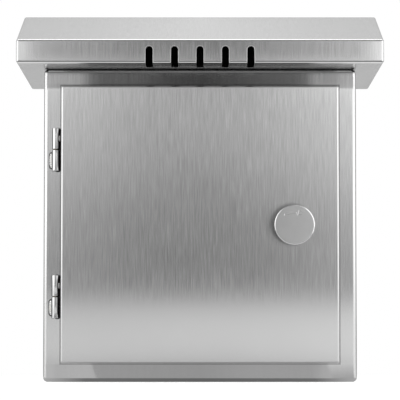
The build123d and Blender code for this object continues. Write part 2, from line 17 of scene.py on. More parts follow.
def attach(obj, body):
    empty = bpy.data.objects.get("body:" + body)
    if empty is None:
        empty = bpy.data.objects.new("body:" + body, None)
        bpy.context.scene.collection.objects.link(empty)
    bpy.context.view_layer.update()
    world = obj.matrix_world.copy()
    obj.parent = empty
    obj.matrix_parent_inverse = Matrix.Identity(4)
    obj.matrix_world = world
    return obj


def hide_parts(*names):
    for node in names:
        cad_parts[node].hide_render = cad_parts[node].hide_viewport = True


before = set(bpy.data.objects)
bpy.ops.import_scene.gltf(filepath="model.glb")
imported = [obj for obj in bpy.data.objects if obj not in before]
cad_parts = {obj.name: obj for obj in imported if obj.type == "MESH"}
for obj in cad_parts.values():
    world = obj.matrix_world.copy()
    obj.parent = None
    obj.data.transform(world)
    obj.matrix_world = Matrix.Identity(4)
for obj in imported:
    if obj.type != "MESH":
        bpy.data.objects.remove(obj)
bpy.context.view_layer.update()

LOG = logging.getLogger("enclosure")
MM = 0.001
TURN = 2 * math.pi
SHARP_ANGLE = 24.0
FLAT_WEIGHT = 60
Array = np.ndarray
Triple = tuple[float, float, float]
Levels = Sequence[tuple[float, float]]



# Surfaces

class Facing(Enum):
    """Which way the own height axis of a turned piece points."""

    UP = "up"
    BACK = "back"
    RIGHT = "right"


@dataclass
class Surface:
    """Points of one or more surfaces and the quads between them.

    Attributes:
        points: Array of shape (n, 3) in millimetres.
        quads: Array of shape (m, 4) of point numbers.
    """

    points: Array
    quads: Array

    @classmethod
    def grid(cls, points: Array, wrap_rows: bool = False, wrap_columns: bool = False) -> "Surface":
        """Surface with a quad between each four neighbours of a grid.

        Args:
            points: Array of shape (rows, columns, 3).
            wrap_rows: Whether the last row joins the first.
            wrap_columns: Whether the last column joins the first.

        Returns:
            The surface of that grid.
        """
        rows, columns = points.shape[:2]
        number = np.arange(rows * columns).reshape(rows, columns)
        if wrap_rows:
            number = np.concatenate([number, number[:1]], axis=0)
        if wrap_columns:
            number = np.concatenate([number, number[:, :1]], axis=1)
        corners = [number[:-1, :-1], number[:-1, 1:], number[1:, 1:], number[1:, :-1]]
        return cls(points.reshape(-1, 3), np.stack(corners, axis=-1).reshape(-1, 4))

    @classmethod
    def joined(cls, parts: Sequence["Surface"]) -> "Surface":
        """Several surfaces as one, each with its own points.

        Args:
            parts: The surfaces to put together.

        Returns:
            One surface that holds them all.
        """
        starts = np.cumsum([0] + [len(part.points) for part in parts[:-1]])
        quads = [part.quads + start for part, start in zip(parts, starts)]
        return cls(np.concatenate([part.points for part in parts]), np.concatenate(quads))

    def placed(self, facing: Facing, origin: Sequence[float]) -> "Surface":
        """Copy whose own height axis points the given way from an origin.

        Args:
            facing: Direction of the own height axis.
            origin: Where the own zero goes.

        Returns:
            The placed copy.
        """
        a, b, height = self.points.T
        turned_to = {
            Facing.UP: (a, b, height),
            Facing.BACK: (a, height, -b),
            Facing.RIGHT: (height, a, b),
        }
        return Surface(np.stack(turned_to[facing], axis=1) + np.asarray(origin), self.quads)

    def repeated(self, facing: Facing, origins: Sequence[Sequence[float]]) -> "Surface":
        """One copy at each origin, with the own height axis pointing the given way, joined into one."""
        return Surface.joined([self.placed(facing, origin) for origin in origins])

    def flipped(self) -> "Surface":
        """Copy that points the other way along its own height axis."""
        return Surface(self.points * (1, -1, -1), self.quads)


def softened(corners: Sequence[Sequence[float]], radius: float, steps: int = 5,
             closed: bool = False) -> Array:
    """Outline whose corners are replaced by quadratic curves.

    Each curve runs from a point on the edge before a corner c to one on the edge after it:
    (1-t)^2 p + 2t(1-t) c + t^2 q, with p and q at the radius from c or at 45 percent of a shorter edge.

    Args:
        corners: Points of the outline, two numbers each.
        radius: How far from a corner its curve begins.
        steps: Points on each curve.
        closed: Whether the last corner joins the first.

    Returns:
        Array of shape (n, 2).
    """
    middle = np.asarray(corners, float)
    before = np.roll(middle, 1, axis=0)
    after = np.roll(middle, -1, axis=0)
    if not closed:
        before[0] = middle[0]
        after[-1] = middle[-1]

    def towards(other: Array) -> Array:
        """Where the curves end on the edges from the corners to the given ones."""
        step = other - middle
        length = np.linalg.norm(step, axis=1, keepdims=True)
        share = np.minimum(radius, 0.45 * length) / np.where(length > 0, length, 1)
        return middle + step * share

    start = towards(before)[:, None]
    end = towards(after)[:, None]
    t = np.linspace(0, 1, steps)[None, :, None]
    curve = (1 - t) ** 2 * start + 2 * t * (1 - t) * middle[:, None] + t ** 2 * end
    if not closed:
        curve[0] = middle[0]
        curve[-1] = middle[-1]
    return curve.reshape(-1, 2)


def polar(radius: Array, angle: Array, height: Array) -> Surface:
    """Surface of rows that each go once round the height axis: (r cos a, r sin a, h).

    Args:
        radius: Radius of each place, or of each row as a column.
        angle: Angle of each column.
        height: Height of each row, as a column.

    Returns:
        The surface, closed round the axis.
    """
    places = np.broadcast_arrays(radius * np.cos(angle), radius * np.sin(angle), height)
    return Surface.grid(np.stack(places, axis=-1), wrap_columns=True)


def turned(profile: Array, segments: int = 72) -> Surface:
    """Profile of radii and heights, turned once about the height axis in the given steps."""
    radius, height = np.asarray(profile, float).T[..., None]
    return polar(radius, np.linspace(0, TURN, segments, endpoint=False), height)


def ring(outer: float, inner: float, height: float, edge: float) -> Surface:
    """Flat ring with softened edges, turned from a rectangle.

    Args:
        outer: Outer diameter.
        inner: Bore.
        height: Thickness.
        edge: Size of the softened edges.

    Returns:
        The ring from height 0 upwards.
    """
    section = [(inner / 2, 0), (outer / 2, 0), (outer / 2, height), (inner / 2, height)]
    outline = softened(section, edge, closed=True)
    return turned(np.concatenate([outline, outline[:1]]))


def hexagon(flats: float, bore: float, height: float, steps: int = 10) -> Surface:
    """Hexagon nut with chamfered corners.

    Its radius is the smaller of the hexagon's, half the flats / cos(angle from the flat's middle),
    and a cone's, 0.95 times half the flats plus 1.73 times the distance from the nearer end.

    Args:
        flats: Width across the flats.
        bore: Diameter of the hole, or 0 for a solid head.
        height: Height of the nut.
        steps: Columns on each flat.

    Returns:
        The nut from height 0 upwards.
    """
    angle = np.linspace(0, TURN, 6 * steps, endpoint=False)
    sixth = TURN / 6
    six_sided = flats / 2 / np.cos(np.mod(angle, sixth) - sixth / 2)
    from_end = np.array([0.0, 0.06, 0.12, 0.18, 0.24, 0.30]) * flats / 4
    level = np.concatenate([from_end, height - from_end[::-1]])
    cone = 0.95 * flats / 2 + math.sqrt(3) * np.minimum(level, height - level)
    side = np.minimum(six_sided[None, :], cone[:, None])
    hole = np.full((1, len(angle)), bore / 2)
    radius = np.concatenate([hole, side, hole] + ([hole] if bore else []))
    level = np.concatenate([[0.0], level, [height]] + ([[0.0]] if bore else []))
    return polar(radius, angle, level[:, None])


def threaded(diameter: float, pitch: float, length: float, plain: float = 0.0,
             columns: int = 30) -> Surface:
    """Rod with a screw thread and a bevelled end.

    The radius falls by 0.6 pitch in a triangle wave of (height / pitch - angle / turn), and near the end
    it isn't larger than the core plus the distance from the end.

    Args:
        diameter: Outer diameter of the thread.
        pitch: Rise of one turn.
        length: Length of the rod.
        plain: Length at the start that has no thread.
        columns: Steps in a turn.

    Returns:
        The rod from height 0 upwards.
    """
    angle = np.linspace(0, TURN, columns, endpoint=False)
    level = np.linspace(0, length, int(6 * length / pitch) + 2)[:, None]
    wave = np.abs(np.mod(level / pitch - angle[None, :] / TURN, 1.0) - 0.5) * 2
    runout = np.clip((level - plain) / pitch, 0, 1)
    core = diameter / 2 - 0.75 * pitch
    radius = diameter / 2 - 0.6 * pitch * wave * runout
    radius = np.minimum(radius, core + (length - level))
    ends = ((1, 1), (0, 0))
    return polar(np.pad(radius, ends), angle, np.pad(level, ends, mode="edge"))


def weld(radius: float, length: float, ripples: float, depth: float, rows: int = 61,
         columns: int = 28) -> Surface:
    """Weld bead along the height axis, centred on it.

    At a share v of its half length the radius is r (1 - |v|^3)^0.5 (1 - depth cos^2(pi ripples v / 2)),
    so that crests and scale-like hollows follow each other and both ends close.

    Args:
        radius: Largest radius.
        length: Length along the axis.
        ripples: Crests along the bead.
        depth: Depth of the hollows as a share of the radius.
        rows: Steps along the bead.
        columns: Steps round it.

    Returns:
        The closed bead.
    """
    share = np.sin(np.linspace(-math.pi / 2, math.pi / 2, rows))[:, None]
    angle = np.linspace(0, TURN, columns, endpoint=False)[None, :]
    lean = 0.18 * np.sin(angle)
    hollow = np.cos(math.pi * ripples * (share + lean) / 2) ** 2
    size = radius * np.sqrt(1 - np.abs(share) ** 3) * (1 - depth * hollow)
    return polar(size, angle, share * length / 2)


def rounded_rectangle(width: float, height: float, radius: float, steps: int = 9, edge: int = 2) -> Array:
    """Closed outline of a rectangle with round corners, in order.

    Args:
        width: Size along the first axis.
        height: Size along the second axis.
        radius: Corner radius.
        steps: Points on each corner.
        edge: Points on each straight run, counting its ends.

    Returns:
        Array of shape (n, 2) without a repeated end.
    """
    quarter = np.linspace(0, math.pi / 2, steps)
    start = np.arange(4)[:, None] * math.pi / 2
    angle = start + quarter[None, :]
    sign = np.array([(1, 1), (-1, 1), (-1, -1), (1, -1)], float)
    centre = sign * (width / 2 - radius, height / 2 - radius)
    arcs = centre[:, None, :] + radius * np.stack([np.cos(angle), np.sin(angle)], axis=-1)
    share = np.linspace(0, 1, edge)[1:-1][None, :, None]
    runs = arcs[:, -1:] * (1 - share) + np.roll(arcs, -1, axis=0)[:, :1] * share
    return np.concatenate([arcs, runs], axis=1).reshape(-1, 2)


def tube(path: Array, normal: Array, radius: float, sides: int = 10) -> Surface:
    """Round bead along a closed path.

    A point is path + radius (cos a normal + sin a binormal), with the binormal square to path and normal.

    Args:
        path: Array of shape (n, 3), closed by its first point.
        normal: Unit normal of the sheet at each point.
        radius: Radius of the bead.
        sides: Steps round it.

    Returns:
        The closed bead.
    """
    along = np.roll(path, -1, axis=0) - np.roll(path, 1, axis=0)
    along = along / np.linalg.norm(along, axis=1, keepdims=True)
    across = np.cross(along, normal)
    across = across / np.linalg.norm(across, axis=1, keepdims=True)
    angle = np.linspace(0, TURN, sides, endpoint=False)[None, :, None]
    points = path[:, None] + radius * (np.cos(angle) * normal[:, None] + np.sin(angle) * across[:, None])
    return Surface.grid(points, wrap_rows=True, wrap_columns=True)


# Shader graphs

class Link:
    """Output of a node that takes part in arithmetic, where each step adds a Math node."""

    def __init__(self, graph: "Graph", socket: bpy.types.NodeSocket) -> None:
        """Keeps the socket and the graph that it belongs to."""
        self.graph = graph
        self.socket = socket

    def math(self, operation: str, other: "Number" = 0.0, swapped: bool = False) -> "Link":
        """Result of a Math node.

        Args:
            operation: Name of the operation.
            other: Second value.
            swapped: Whether the other value comes first.

        Returns:
            The node's value.
        """
        first, second = (other, self) if swapped else (self, other)
        return self.graph.add("ShaderNodeMath", {"operation": operation}, {0: first, 1: second})

    def __add__(self, other: "Number") -> "Link":
        """Sum."""
        return self.math("ADD", other)

    def __radd__(self, other: "Number") -> "Link":
        """Sum with a number on the left."""
        return self.math("ADD", other, swapped=True)

    def __sub__(self, other: "Number") -> "Link":
        """Difference."""
        return self.math("SUBTRACT", other)

    def __rsub__(self, other: "Number") -> "Link":
        """Difference from a number on the left."""
        return self.math("SUBTRACT", other, swapped=True)

    def __mul__(self, other: "Number") -> "Link":
        """Product."""
        return self.math("MULTIPLY", other)

    def __rmul__(self, other: "Number") -> "Link":
        """Product with a number on the left."""
        return self.math("MULTIPLY", other, swapped=True)

    def __truediv__(self, other: "Number") -> "Link":
        """Quotient."""
        return self.math("DIVIDE", other)

    def __rtruediv__(self, other: "Number") -> "Link":
        """Quotient with a number on top."""
        return self.math("DIVIDE", other, swapped=True)

    def __pow__(self, other: "Number") -> "Link":
        """Power."""
        return self.math("POWER", other)

    def __abs__(self) -> "Link":
        """Size without its sign."""
        return self.math("ABSOLUTE")

    def clamped(self, low: float = 0.0) -> "Link":
        """Value kept between a low end and 1."""
        return self.math("MAXIMUM", low).math("MINIMUM", 1.0)

    def under(self, limit: float) -> "Link":
        """1 where a length in metres is below a limit in millimetres, else 0."""
        return self.math("LESS_THAN", limit * MM)

    def over(self, limit: float) -> "Link":
        """1 where a length in metres is above a limit in millimetres, else 0."""
        return self.math("GREATER_THAN", limit * MM)

    def output(self, name: str) -> "Link":
        """Another output of the same node."""
        return Link(self.graph, self.socket.node.outputs[name])

    def parts(self) -> tuple["Link", "Link", "Link"]:
        """The three numbers of a vector."""
        split = self.graph.add("ShaderNodeSeparateXYZ", {}, {0: self})
        return split, split.output("Y"), split.output("Z")


Number = Union[Link, float]


class Graph:
    """Node tree of one material or of the world."""

    def __init__(self, tree: bpy.types.NodeTree) -> None:
        """Empties the tree."""
        self.tree = tree
        tree.nodes.clear()

    def add(self, kind: str, settings: dict[str, Any], inputs: dict[Any, Any], output: Any = 0) -> Link:
        """Any node, with its settings made before its sockets are filled.

        Args:
            kind: Type of the node.
            settings: Attributes of the node, or "stops" for a ramp's positions and greys.
            inputs: Value or link of each socket, by name or number.
            output: Name or number of the output that is returned.

        Returns:
            That output, or a link without a socket for a node that has none.
        """
        node = self.tree.nodes.new(kind)
        for name, value in settings.items():
            if name == "stops":
                self._fill_ramp(node.color_ramp, value)
            else:
                setattr(node, name, value)
        for key, value in inputs.items():
            if isinstance(value, Link):
                self.tree.links.new(value.socket, node.inputs[key])
            else:
                node.inputs[key].default_value = value
        return Link(self, node.outputs[output] if len(node.outputs) else None)

    @staticmethod
    def _fill_ramp(ramp: bpy.types.ColorRamp, stops: Levels) -> None:
        """Sets a ramp's stops to greys, joined by straight lines."""
        ramp.interpolation = "LINEAR"
        while len(ramp.elements) < len(stops):
            ramp.elements.new(0.5)
        for element, (position, level) in zip(ramp.elements, stops):
            element.position = position
            element.color = (level, level, level, 1.0)

    def place(self, name: str = "Object") -> Link:
        """Coordinates of the shaded point."""
        return self.add("ShaderNodeTexCoord", {}, {}, name)

    def vector(self, x: Number, y: Number, z: Number) -> Link:
        """Vector of three values."""
        return self.add("ShaderNodeCombineXYZ", {}, {0: x, 1: y, 2: z})

    def stretched(self, vector: Link, scale: Triple) -> Link:
        """Vector times a scale for each axis."""
        return self.add("ShaderNodeVectorMath", {"operation": "MULTIPLY"}, {0: vector, 1: scale})

    def noise(self, vector: Link, scale: float, detail: float = 2.0) -> Link:
        """Noise between 0 and 1."""
        return self.add("ShaderNodeTexNoise", {}, {"Vector": vector, "Scale": scale, "Detail": detail})

    def blend(self, share: Number, first: Any, second: Any) -> Link:
        """Colour between two others."""
        inputs = {0: share, 6: first, 7: second}
        return self.add("ShaderNodeMix", {"data_type": "RGBA"}, inputs, 2)

    def bump(self, height: Link, strength: float, distance: float) -> Link:
        """Normal bent by a height."""
        inputs = {"Height": height, "Strength": strength, "Distance": distance}
        return self.add("ShaderNodeBump", {}, inputs)

    def greys(self, share: Number, brightness: float, low: float, high: float) -> Link:
        """Grey between two shares of a brightness."""
        return self.blend(share, grey(brightness * low), grey(brightness * high))

    def principled(self, colour: Link, roughness: Number, normal: Link, metallic: float = 1.0,
                   anisotropy: float = 0.0) -> Link:
        """Principled shader, of a bare metal unless told otherwise."""
        return self.add("ShaderNodeBsdfPrincipled", {}, {
            "Base Color": colour,
            "Metallic": metallic,
            "Roughness": roughness,
            "Anisotropic": anisotropy,
            "Normal": normal,
        })


def grey(value: float) -> tuple[float, float, float, float]:
    """Opaque grey."""
    return (value, value, value, 1.0)


def new_material(name: str) -> tuple[bpy.types.Material, Graph]:
    """Empty material and its graph."""
    material = bpy.data.materials.new(name)
    material.use_nodes = True
    return material, Graph(material.node_tree)


# Finishes

HINGE_HEIGHTS = (222.0, 81.0)
LOCK_CENTRE = (90.0, 149.0)
SLOT_COUNT = 5
SLOT_PITCH = 24.0
SLOT_WIDTH = 7.0
SLOT_TOP = 315.9
# Near-black grey of painted shade, used by the shade patches, the creases beside the hood's folds and the
# line round the door.
SHADE_GREY = grey(0.012)


@dataclass(frozen=True)
class Finish:
    """A surface treatment.

    Attributes:
        name: Name of its material.
        slot: Material slot of the part's record that it belongs to; not used.
    """

    name: str
    slot: str

    def shade(self, graph: Graph) -> Link:
        """Shader of the finish."""
        raise NotImplementedError

    def material(self) -> bpy.types.Material:
        """The finish's material, made on its first use."""
        material = bpy.data.materials.get(self.name)
        if material is None:
            material, graph = new_material(self.name)
            graph.add("ShaderNodeOutputMaterial", {}, {"Surface": self.shade(graph)})
        return material


@dataclass(frozen=True)
class ShadePatch:
    """Patch of painted shade on a sheet seen from the front, such as the shade in a gap beside a hinge or
    the shadow of the lock's cover.

    Attributes:
        centre: Middle as x and z in millimetres.
        reach: Half width and half height in millimetres.
        depth: Share of the brightness that it takes away.
        edge: How quickly it fades at its border.
        square: Power of the height, 2 for an ellipse and more for blunt ends.
        back: Place along Y behind which there is none of it.
    """

    centre: tuple[float, float]
    reach: tuple[float, float]
    depth: float
    edge: float
    square: float = 2.0
    back: float = -85.0

    def clear(self, place: Sequence[Link]) -> Link:
        """Share of the brightness that is left at a place.

        Args:
            place: The three coordinates in metres.

        Returns:
            A share between 0 and 1.
        """
        x, y, z = place
        along = (x - self.centre[0] * MM) / (self.reach[0] * MM)
        up = abs(z - self.centre[1] * MM) / (self.reach[1] * MM)
        inside = (1 - along * along - up ** self.square) * self.edge
        return 1 - inside.clamped() * y.under(self.back) * self.depth


def with_shade_patches(graph: Graph, colour: Link, shade_patches: Sequence[ShadePatch], place: Sequence[Link]) -> Link:
    """Colour of a sheet under its patches of painted shade.

    Args:
        graph: Node tree that it belongs to.
        colour: Colour of the clean sheet.
        shade_patches: The patches of painted shade.
        place: The three coordinates in metres.

    Returns:
        The colour.
    """
    for shade_patch in shade_patches:
        colour = graph.blend(shade_patch.clear(place), SHADE_GREY, colour)
    return colour


@dataclass(frozen=True)
class BrushedSteel(Finish):
    """Stainless sheet with a straight brushed grain.

    The grain runs up and down on walls and front to back on level faces.

    Attributes:
        brightness: Grey of the metal.
        roughness: Mean roughness.
        anisotropy: How much wider a reflection is across the grain.
        contrast: How much the streaks differ in brightness.
        smooth_below: Height in millimetres below which the streaks fade.
        shade_patches: Patches of painted shade on it.
        fine_grain: Fine streaks in a metre, across and along the grain.
        broad_grain: Broad streaks in a metre, across and along the grain.
        fine_share: Share of the fine streaks.
        fading: How quickly the streaks fade.
        faintest: Share of the streaks that is left low down.
        smudges: Smudges in a metre.
    """

    brightness: float = 0.60
    roughness: float = 0.17
    anisotropy: float = 0.85
    contrast: float = 0.245
    smooth_below: float = 90.0
    shade_patches: tuple[ShadePatch, ...] = ()
    fine_grain: Triple = (1050.0, 46.0, 1.0)
    broad_grain: Triple = (230.0, 9.0, 1.0)
    fine_share: float = 0.80
    fading: float = 60.0
    faintest: float = 0.22
    smudges: float = 14.0

    def painted_light(self, graph: Graph, colour: Link, place: Sequence[Link]) -> Link:
        """Colour after the painted light and shade that plain sheet has none of."""
        return colour

    def shade(self, graph: Graph) -> Link:
        """Streaks of two widths, long along the grain, change colour, roughness and height."""
        place = graph.place().parts()
        x, y, z = place
        across_wall, _, upright = graph.place("Normal").parts()
        side = abs(across_wall)
        level = abs(upright)
        grain = graph.vector(x * (1 - side) + y * side, z * (1 - level) + y * level, 0.0)
        fine = graph.noise(graph.stretched(grain, self.fine_grain), 1.0, 3.0)
        broad = graph.noise(graph.stretched(grain, self.broad_grain), 1.0, 3.0)
        smudge = graph.noise(graph.place(), self.smudges, 3.0)
        streak = fine * self.fine_share + broad * (1 - self.fine_share)
        worn = ((z - self.smooth_below * MM) * self.fading + 1).clamped(self.faintest)
        tone = 0.5 + (streak - 0.5) * worn
        colour = graph.greys(tone, self.brightness, 1 - self.contrast, 1 + self.contrast)
        colour = self.painted_light(graph, with_shade_patches(graph, colour, self.shade_patches, place), place)
        roughness = self.roughness + (streak - 0.5) * 0.10 + (smudge - 0.5) * 0.05
        normal = graph.bump(fine, 0.06, 0.00004)
        return graph.principled(colour, roughness, normal, anisotropy=self.anisotropy)


@dataclass(frozen=True)
class VentedSteel(BrushedSteel):
    """Brushed sheet with painted highlights round its vent slots and along both folds of its lip, and
    painted shade beside each fold.

    Attributes:
        base: Height where the slots' border ends at the lower bend.
        middle: Height of the lip's middle.
        reach: Distance of each fold's painted highlight from the middle.
        front: Place along Y behind which the borders and folds end.
        border: Width of the painted highlight round the slots.
        crease: Width of the painted shade beside each fold.
        crease_depth: Share of the brightness that the painted shade beside each fold takes away.
        painted_highlight: Grey of the painted highlights.
    """

    base: float = 301.0
    middle: float = 311.2
    reach: float = 10.55
    front: float = -140.2
    border: float = 0.65
    crease: float = 0.9
    crease_depth: float = 0.46
    painted_highlight: float = 0.88

    def painted_light(self, graph: Graph, colour: Link, place: Sequence[Link]) -> Link:
        """Paler, as a painted highlight, where the distance from a slot's outline is under the border's
        width and on the folds, and darker beside the folds as painted shade.

        Args:
            graph: Node tree that it belongs to.
            colour: Colour of the plain sheet.
            place: The three coordinates in metres.

        Returns:
            The colour.
        """
        x, y, z = place
        half_pitch = SLOT_PITCH / 2 * MM
        across = abs((x + half_pitch).math("FLOORED_MODULO", 2 * half_pitch) - half_pitch)
        above = (z - (SLOT_TOP - SLOT_WIDTH / 2) * MM).math("MAXIMUM", 0.0)
        distance = (across * across + above * above) ** 0.5
        near = distance.under(SLOT_WIDTH / 2 + self.border) * z.over(self.base)
        inside = abs(x).under(SLOT_COUNT / 2 * SLOT_PITCH)
        ahead = y.under(self.front)
        away = abs(z - self.middle * MM)
        # Painted shade in a thin band beside each fold.
        crease = ahead * away.over(self.reach - self.crease)
        colour = graph.blend(crease * self.crease_depth, colour, SHADE_GREY)
        # Painted highlight round the slots and on the folds.
        painted_highlight_share = (near * inside * ahead).math("MAXIMUM", ahead * away.over(self.reach))
        return graph.blend(painted_highlight_share, colour, grey(self.painted_highlight))


@dataclass(frozen=True)
class FramedSteel(BrushedSteel):
    """Brushed sheet with a thin line of painted shadow where the shut door's edge meets it.

    Attributes:
        middle: Height of the line's middle in millimetres.
        half: Distance of the line's inner edge from its middle, across and up.
        line: Width of the line.
        depth: Share of the brightness that it takes away.
        front: Place along Y behind which the line ends.
    """

    middle: float = 150.75
    half: float = 132.0
    line: float = 2.4
    depth: float = 0.40
    front: float = -88.0

    def painted_light(self, graph: Graph, colour: Link, place: Sequence[Link]) -> Link:
        """Darker, as painted shadow, where the larger of the distances across and up from the middle falls
        on the line.

        Args:
            graph: Node tree that it belongs to.
            colour: Colour of the plain sheet.
            place: The three coordinates in metres.

        Returns:
            The colour.
        """
        x, y, z = place
        away = abs(x).math("MAXIMUM", abs(z - self.middle * MM))
        on_line = away.over(self.half) * away.under(self.half + self.line)
        # Painted shadow of the door's edge on the frame.
        return graph.blend(on_line * y.under(self.front) * self.depth, colour, SHADE_GREY)


@dataclass(frozen=True)
class GroundSteel(Finish):
    """Bar stock with fine turning marks round an upright axis.

    Attributes:
        brightness: Grey of the metal.
        roughness: Mean roughness.
        shade_patches: Patches of painted shade on it.
    """

    brightness: float = 0.62
    roughness: float = 0.12
    shade_patches: tuple[ShadePatch, ...] = ()

    def shade(self, graph: Graph) -> Link:
        """Thin level rings and a faint cloud."""
        place = graph.place()
        rings = graph.noise(graph.stretched(place, (60.0, 60.0, 3500.0)), 1.0)
        cloud = graph.noise(place, 260.0, 3.0)
        tone = rings * 0.6 + cloud * 0.4
        colour = graph.greys(tone, self.brightness, 0.86, 1.12)
        colour = with_shade_patches(graph, colour, self.shade_patches, place.parts())
        roughness = self.roughness + (tone - 0.5) * 0.10
        return graph.principled(colour, roughness, graph.bump(rings, 0.05, 0.00002))


@dataclass(frozen=True)
class SatinPlate(Finish):
    """Satin plated disc with circular marks about the lock's axis, a painted highlight round its edge and
    painted light growing to the right.

    Attributes:
        brightness: Grey of the metal.
        roughness: Mean roughness.
        edge: Radius outside which the painted highlight lies.
        painted_highlight: Grey of the painted highlight at the edge.
        paler: How much paler it gets to the right, in a metre, as painted light.
    """

    brightness: float = 0.56
    roughness: float = 0.32
    edge: float = 18.1
    painted_highlight: float = 0.72
    paler: float = 24.0

    def shade(self, graph: Graph) -> Link:
        """Rings about the axis under a faint cloud, painted light growing to the right, and a painted
        highlight at the edge.
        """
        place = graph.place()
        x, _, z = place.parts()
        along = x - LOCK_CENTRE[0] * MM
        up = z - LOCK_CENTRE[1] * MM
        radius = (along * along + up * up) ** 0.5
        rings = graph.noise(graph.vector(radius * 2600.0, 0.0, 0.0), 1.0)
        cloud = graph.noise(place, 120.0, 3.0)
        tone = rings * 0.5 + cloud * 0.5
        # Painted highlight round the edge, which is also less rough.
        painted_highlight = ((radius - self.edge * MM) * 4000.0).clamped()
        # Painted light: the satin gets paler to the right.
        satin = graph.greys(tone + along * self.paler, self.brightness, 0.94, 1.10)
        colour = graph.blend(painted_highlight, satin, grey(self.painted_highlight))
        roughness = self.roughness + (tone - 0.5) * 0.12 - painted_highlight * 0.16
        return graph.principled(colour, roughness, graph.bump(rings, 0.05, 0.00003))


@dataclass(frozen=True)
class MottledMetal(Finish):
    """Metal that wanders between two tints in patches, with a fine grain.

    Attributes:
        brightness: Share of both tints' light.
        dull: Tint of the dull patches.
        clean: Tint of the clean metal.
        patches: Patches in a metre, and how ragged they are.
        roughness: Roughness of the dull patches, and what clean metal adds.
        grain: Grains in a metre.
        relief: Strength of the grain, and its height in metres.
    """

    brightness: float
    dull: Triple
    clean: Triple
    patches: tuple[float, float]
    roughness: tuple[float, float]
    grain: float
    relief: tuple[float, float] = (0.08, 0.00004)

    def tint(self, parts: Triple) -> tuple[float, ...]:
        """Opaque colour of a tint at the finish's brightness."""
        return (*(self.brightness * part for part in parts), 1.0)

    def shade(self, graph: Graph) -> Link:
        """Patches change the colour and the roughness, and the grain bends the normal."""
        place = graph.place()
        patch = graph.noise(place, *self.patches)
        colour = graph.blend(patch, self.tint(self.dull), self.tint(self.clean))
        least, more = self.roughness
        normal = graph.bump(graph.noise(place, self.grain), *self.relief)
        return graph.principled(colour, least + patch * more, normal)


@dataclass(frozen=True)
class WeldMetal(MottledMetal):
    """Weld with a faint straw and blue heat tint."""

    brightness: float = 0.88
    dull: Triple = (0.84, 0.87, 0.92)
    clean: Triple = (1.02, 0.98, 0.90)
    patches: tuple[float, float] = (420.0, 3.0)
    roughness: tuple[float, float] = (0.10, 0.12)
    grain: float = 2600.0
    relief: tuple[float, float] = (0.15, 0.00008)


@dataclass(frozen=True)
class ZincPlate(MottledMetal):
    """Bright zinc on small fasteners, with a cool bloom."""

    brightness: float = 0.62
    dull: Triple = (0.88, 0.92, 0.98)
    clean: Triple = (1.06, 1.05, 1.00)
    patches: tuple[float, float] = (300.0, 4.0)
    roughness: tuple[float, float] = (0.24, 0.14)
    grain: float = 3000.0


@dataclass(frozen=True)
class TurnedBrass(MottledMetal):
    """Plain brass, slightly dulled."""

    brightness: float = 1.0
    dull: Triple = (0.50, 0.37, 0.17)
    clean: Triple = (0.80, 0.63, 0.33)
    patches: tuple[float, float] = (340.0, 4.0)
    roughness: tuple[float, float] = (0.22, 0.18)
    grain: float = 2800.0


@dataclass(frozen=True)
class GalvanisedSheet(Finish):
    """Hot-dip zinc with its spangle of crystal patches.

    Attributes:
        brightness: Grey of the metal.
        spangle: Crystals in a metre.
        feathers: Feathers of the crystals in a metre.
    """

    brightness: float = 0.56
    spangle: float = 95.0
    feathers: float = 900.0

    def shade(self, graph: Graph) -> Link:
        """Each cell of a Voronoi pattern has a grey and a roughness of its own."""
        place = graph.place()
        cells = graph.add("ShaderNodeTexVoronoi", {}, {"Vector": place, "Scale": self.spangle}, "Color")
        feather = graph.noise(graph.stretched(place, (self.feathers,) * 3), 1.0, 3.0)
        tone = cells.parts()[0] * 0.75 + feather * 0.25
        colour = graph.greys(tone, self.brightness, 0.78, 1.16)
        return graph.principled(colour, 0.30 + tone * 0.22, graph.bump(feather, 0.08, 0.00005))


@dataclass(frozen=True)
class MouldedRubber(Finish):
    """Black moulded rubber with a dry bloom.

    Attributes:
        brightness: Grey of the rubber.
        grain_scale: Grains in a metre.
        grain_height: Height of the grain in metres.
        dust: Dusty patches in a metre.
    """

    brightness: float = 0.030
    grain_scale: float = 1800.0
    grain_height: float = 0.00006
    dust: float = 70.0

    def shade(self, graph: Graph) -> Link:
        """Fine grain, with paler dust in patches."""
        place = graph.place()
        grain = graph.add("ShaderNodeTexVoronoi", {}, {"Vector": place, "Scale": self.grain_scale})
        dust = graph.noise(place, self.dust, 4.0)
        colour = graph.greys(dust, self.brightness, 0.7, 1.7)
        normal = graph.bump(grain, 0.35, self.grain_height)
        return graph.principled(colour, 0.58 + dust * 0.24, normal, metallic=0.0)


def by_hinges(x: float, reach: tuple[float, float], depth: float, edge: float, square: float = 12.0,
              raised: float = 0.0) -> tuple[ShadePatch, ...]:
    """The same patch of painted shade beside each hinge, at a place along X and raised above the hinge's
    middle.
    """
    return tuple(ShadePatch((x, height + raised), reach, depth, edge, square) for height in HINGE_HEIGHTS)


# Painted shade on the frame in the gap beside each hinge barrel and round each frame weld bead.
BODY_SHADE_PATCHES = (
    *by_hinges(-136.4, (4.0, 21.5), 0.92, 6.0),
    *by_hinges(-141.8, (3.6, 8.6), 0.85, 3.0, 6.0, -10.3),
    # Painted shade in the gaps where the hood meets the frame's top corners.
    *(ShadePatch((x, 298.6), (2.4, 1.5), 0.92, 3.0) for x in (-147.8, 147.8)),
)
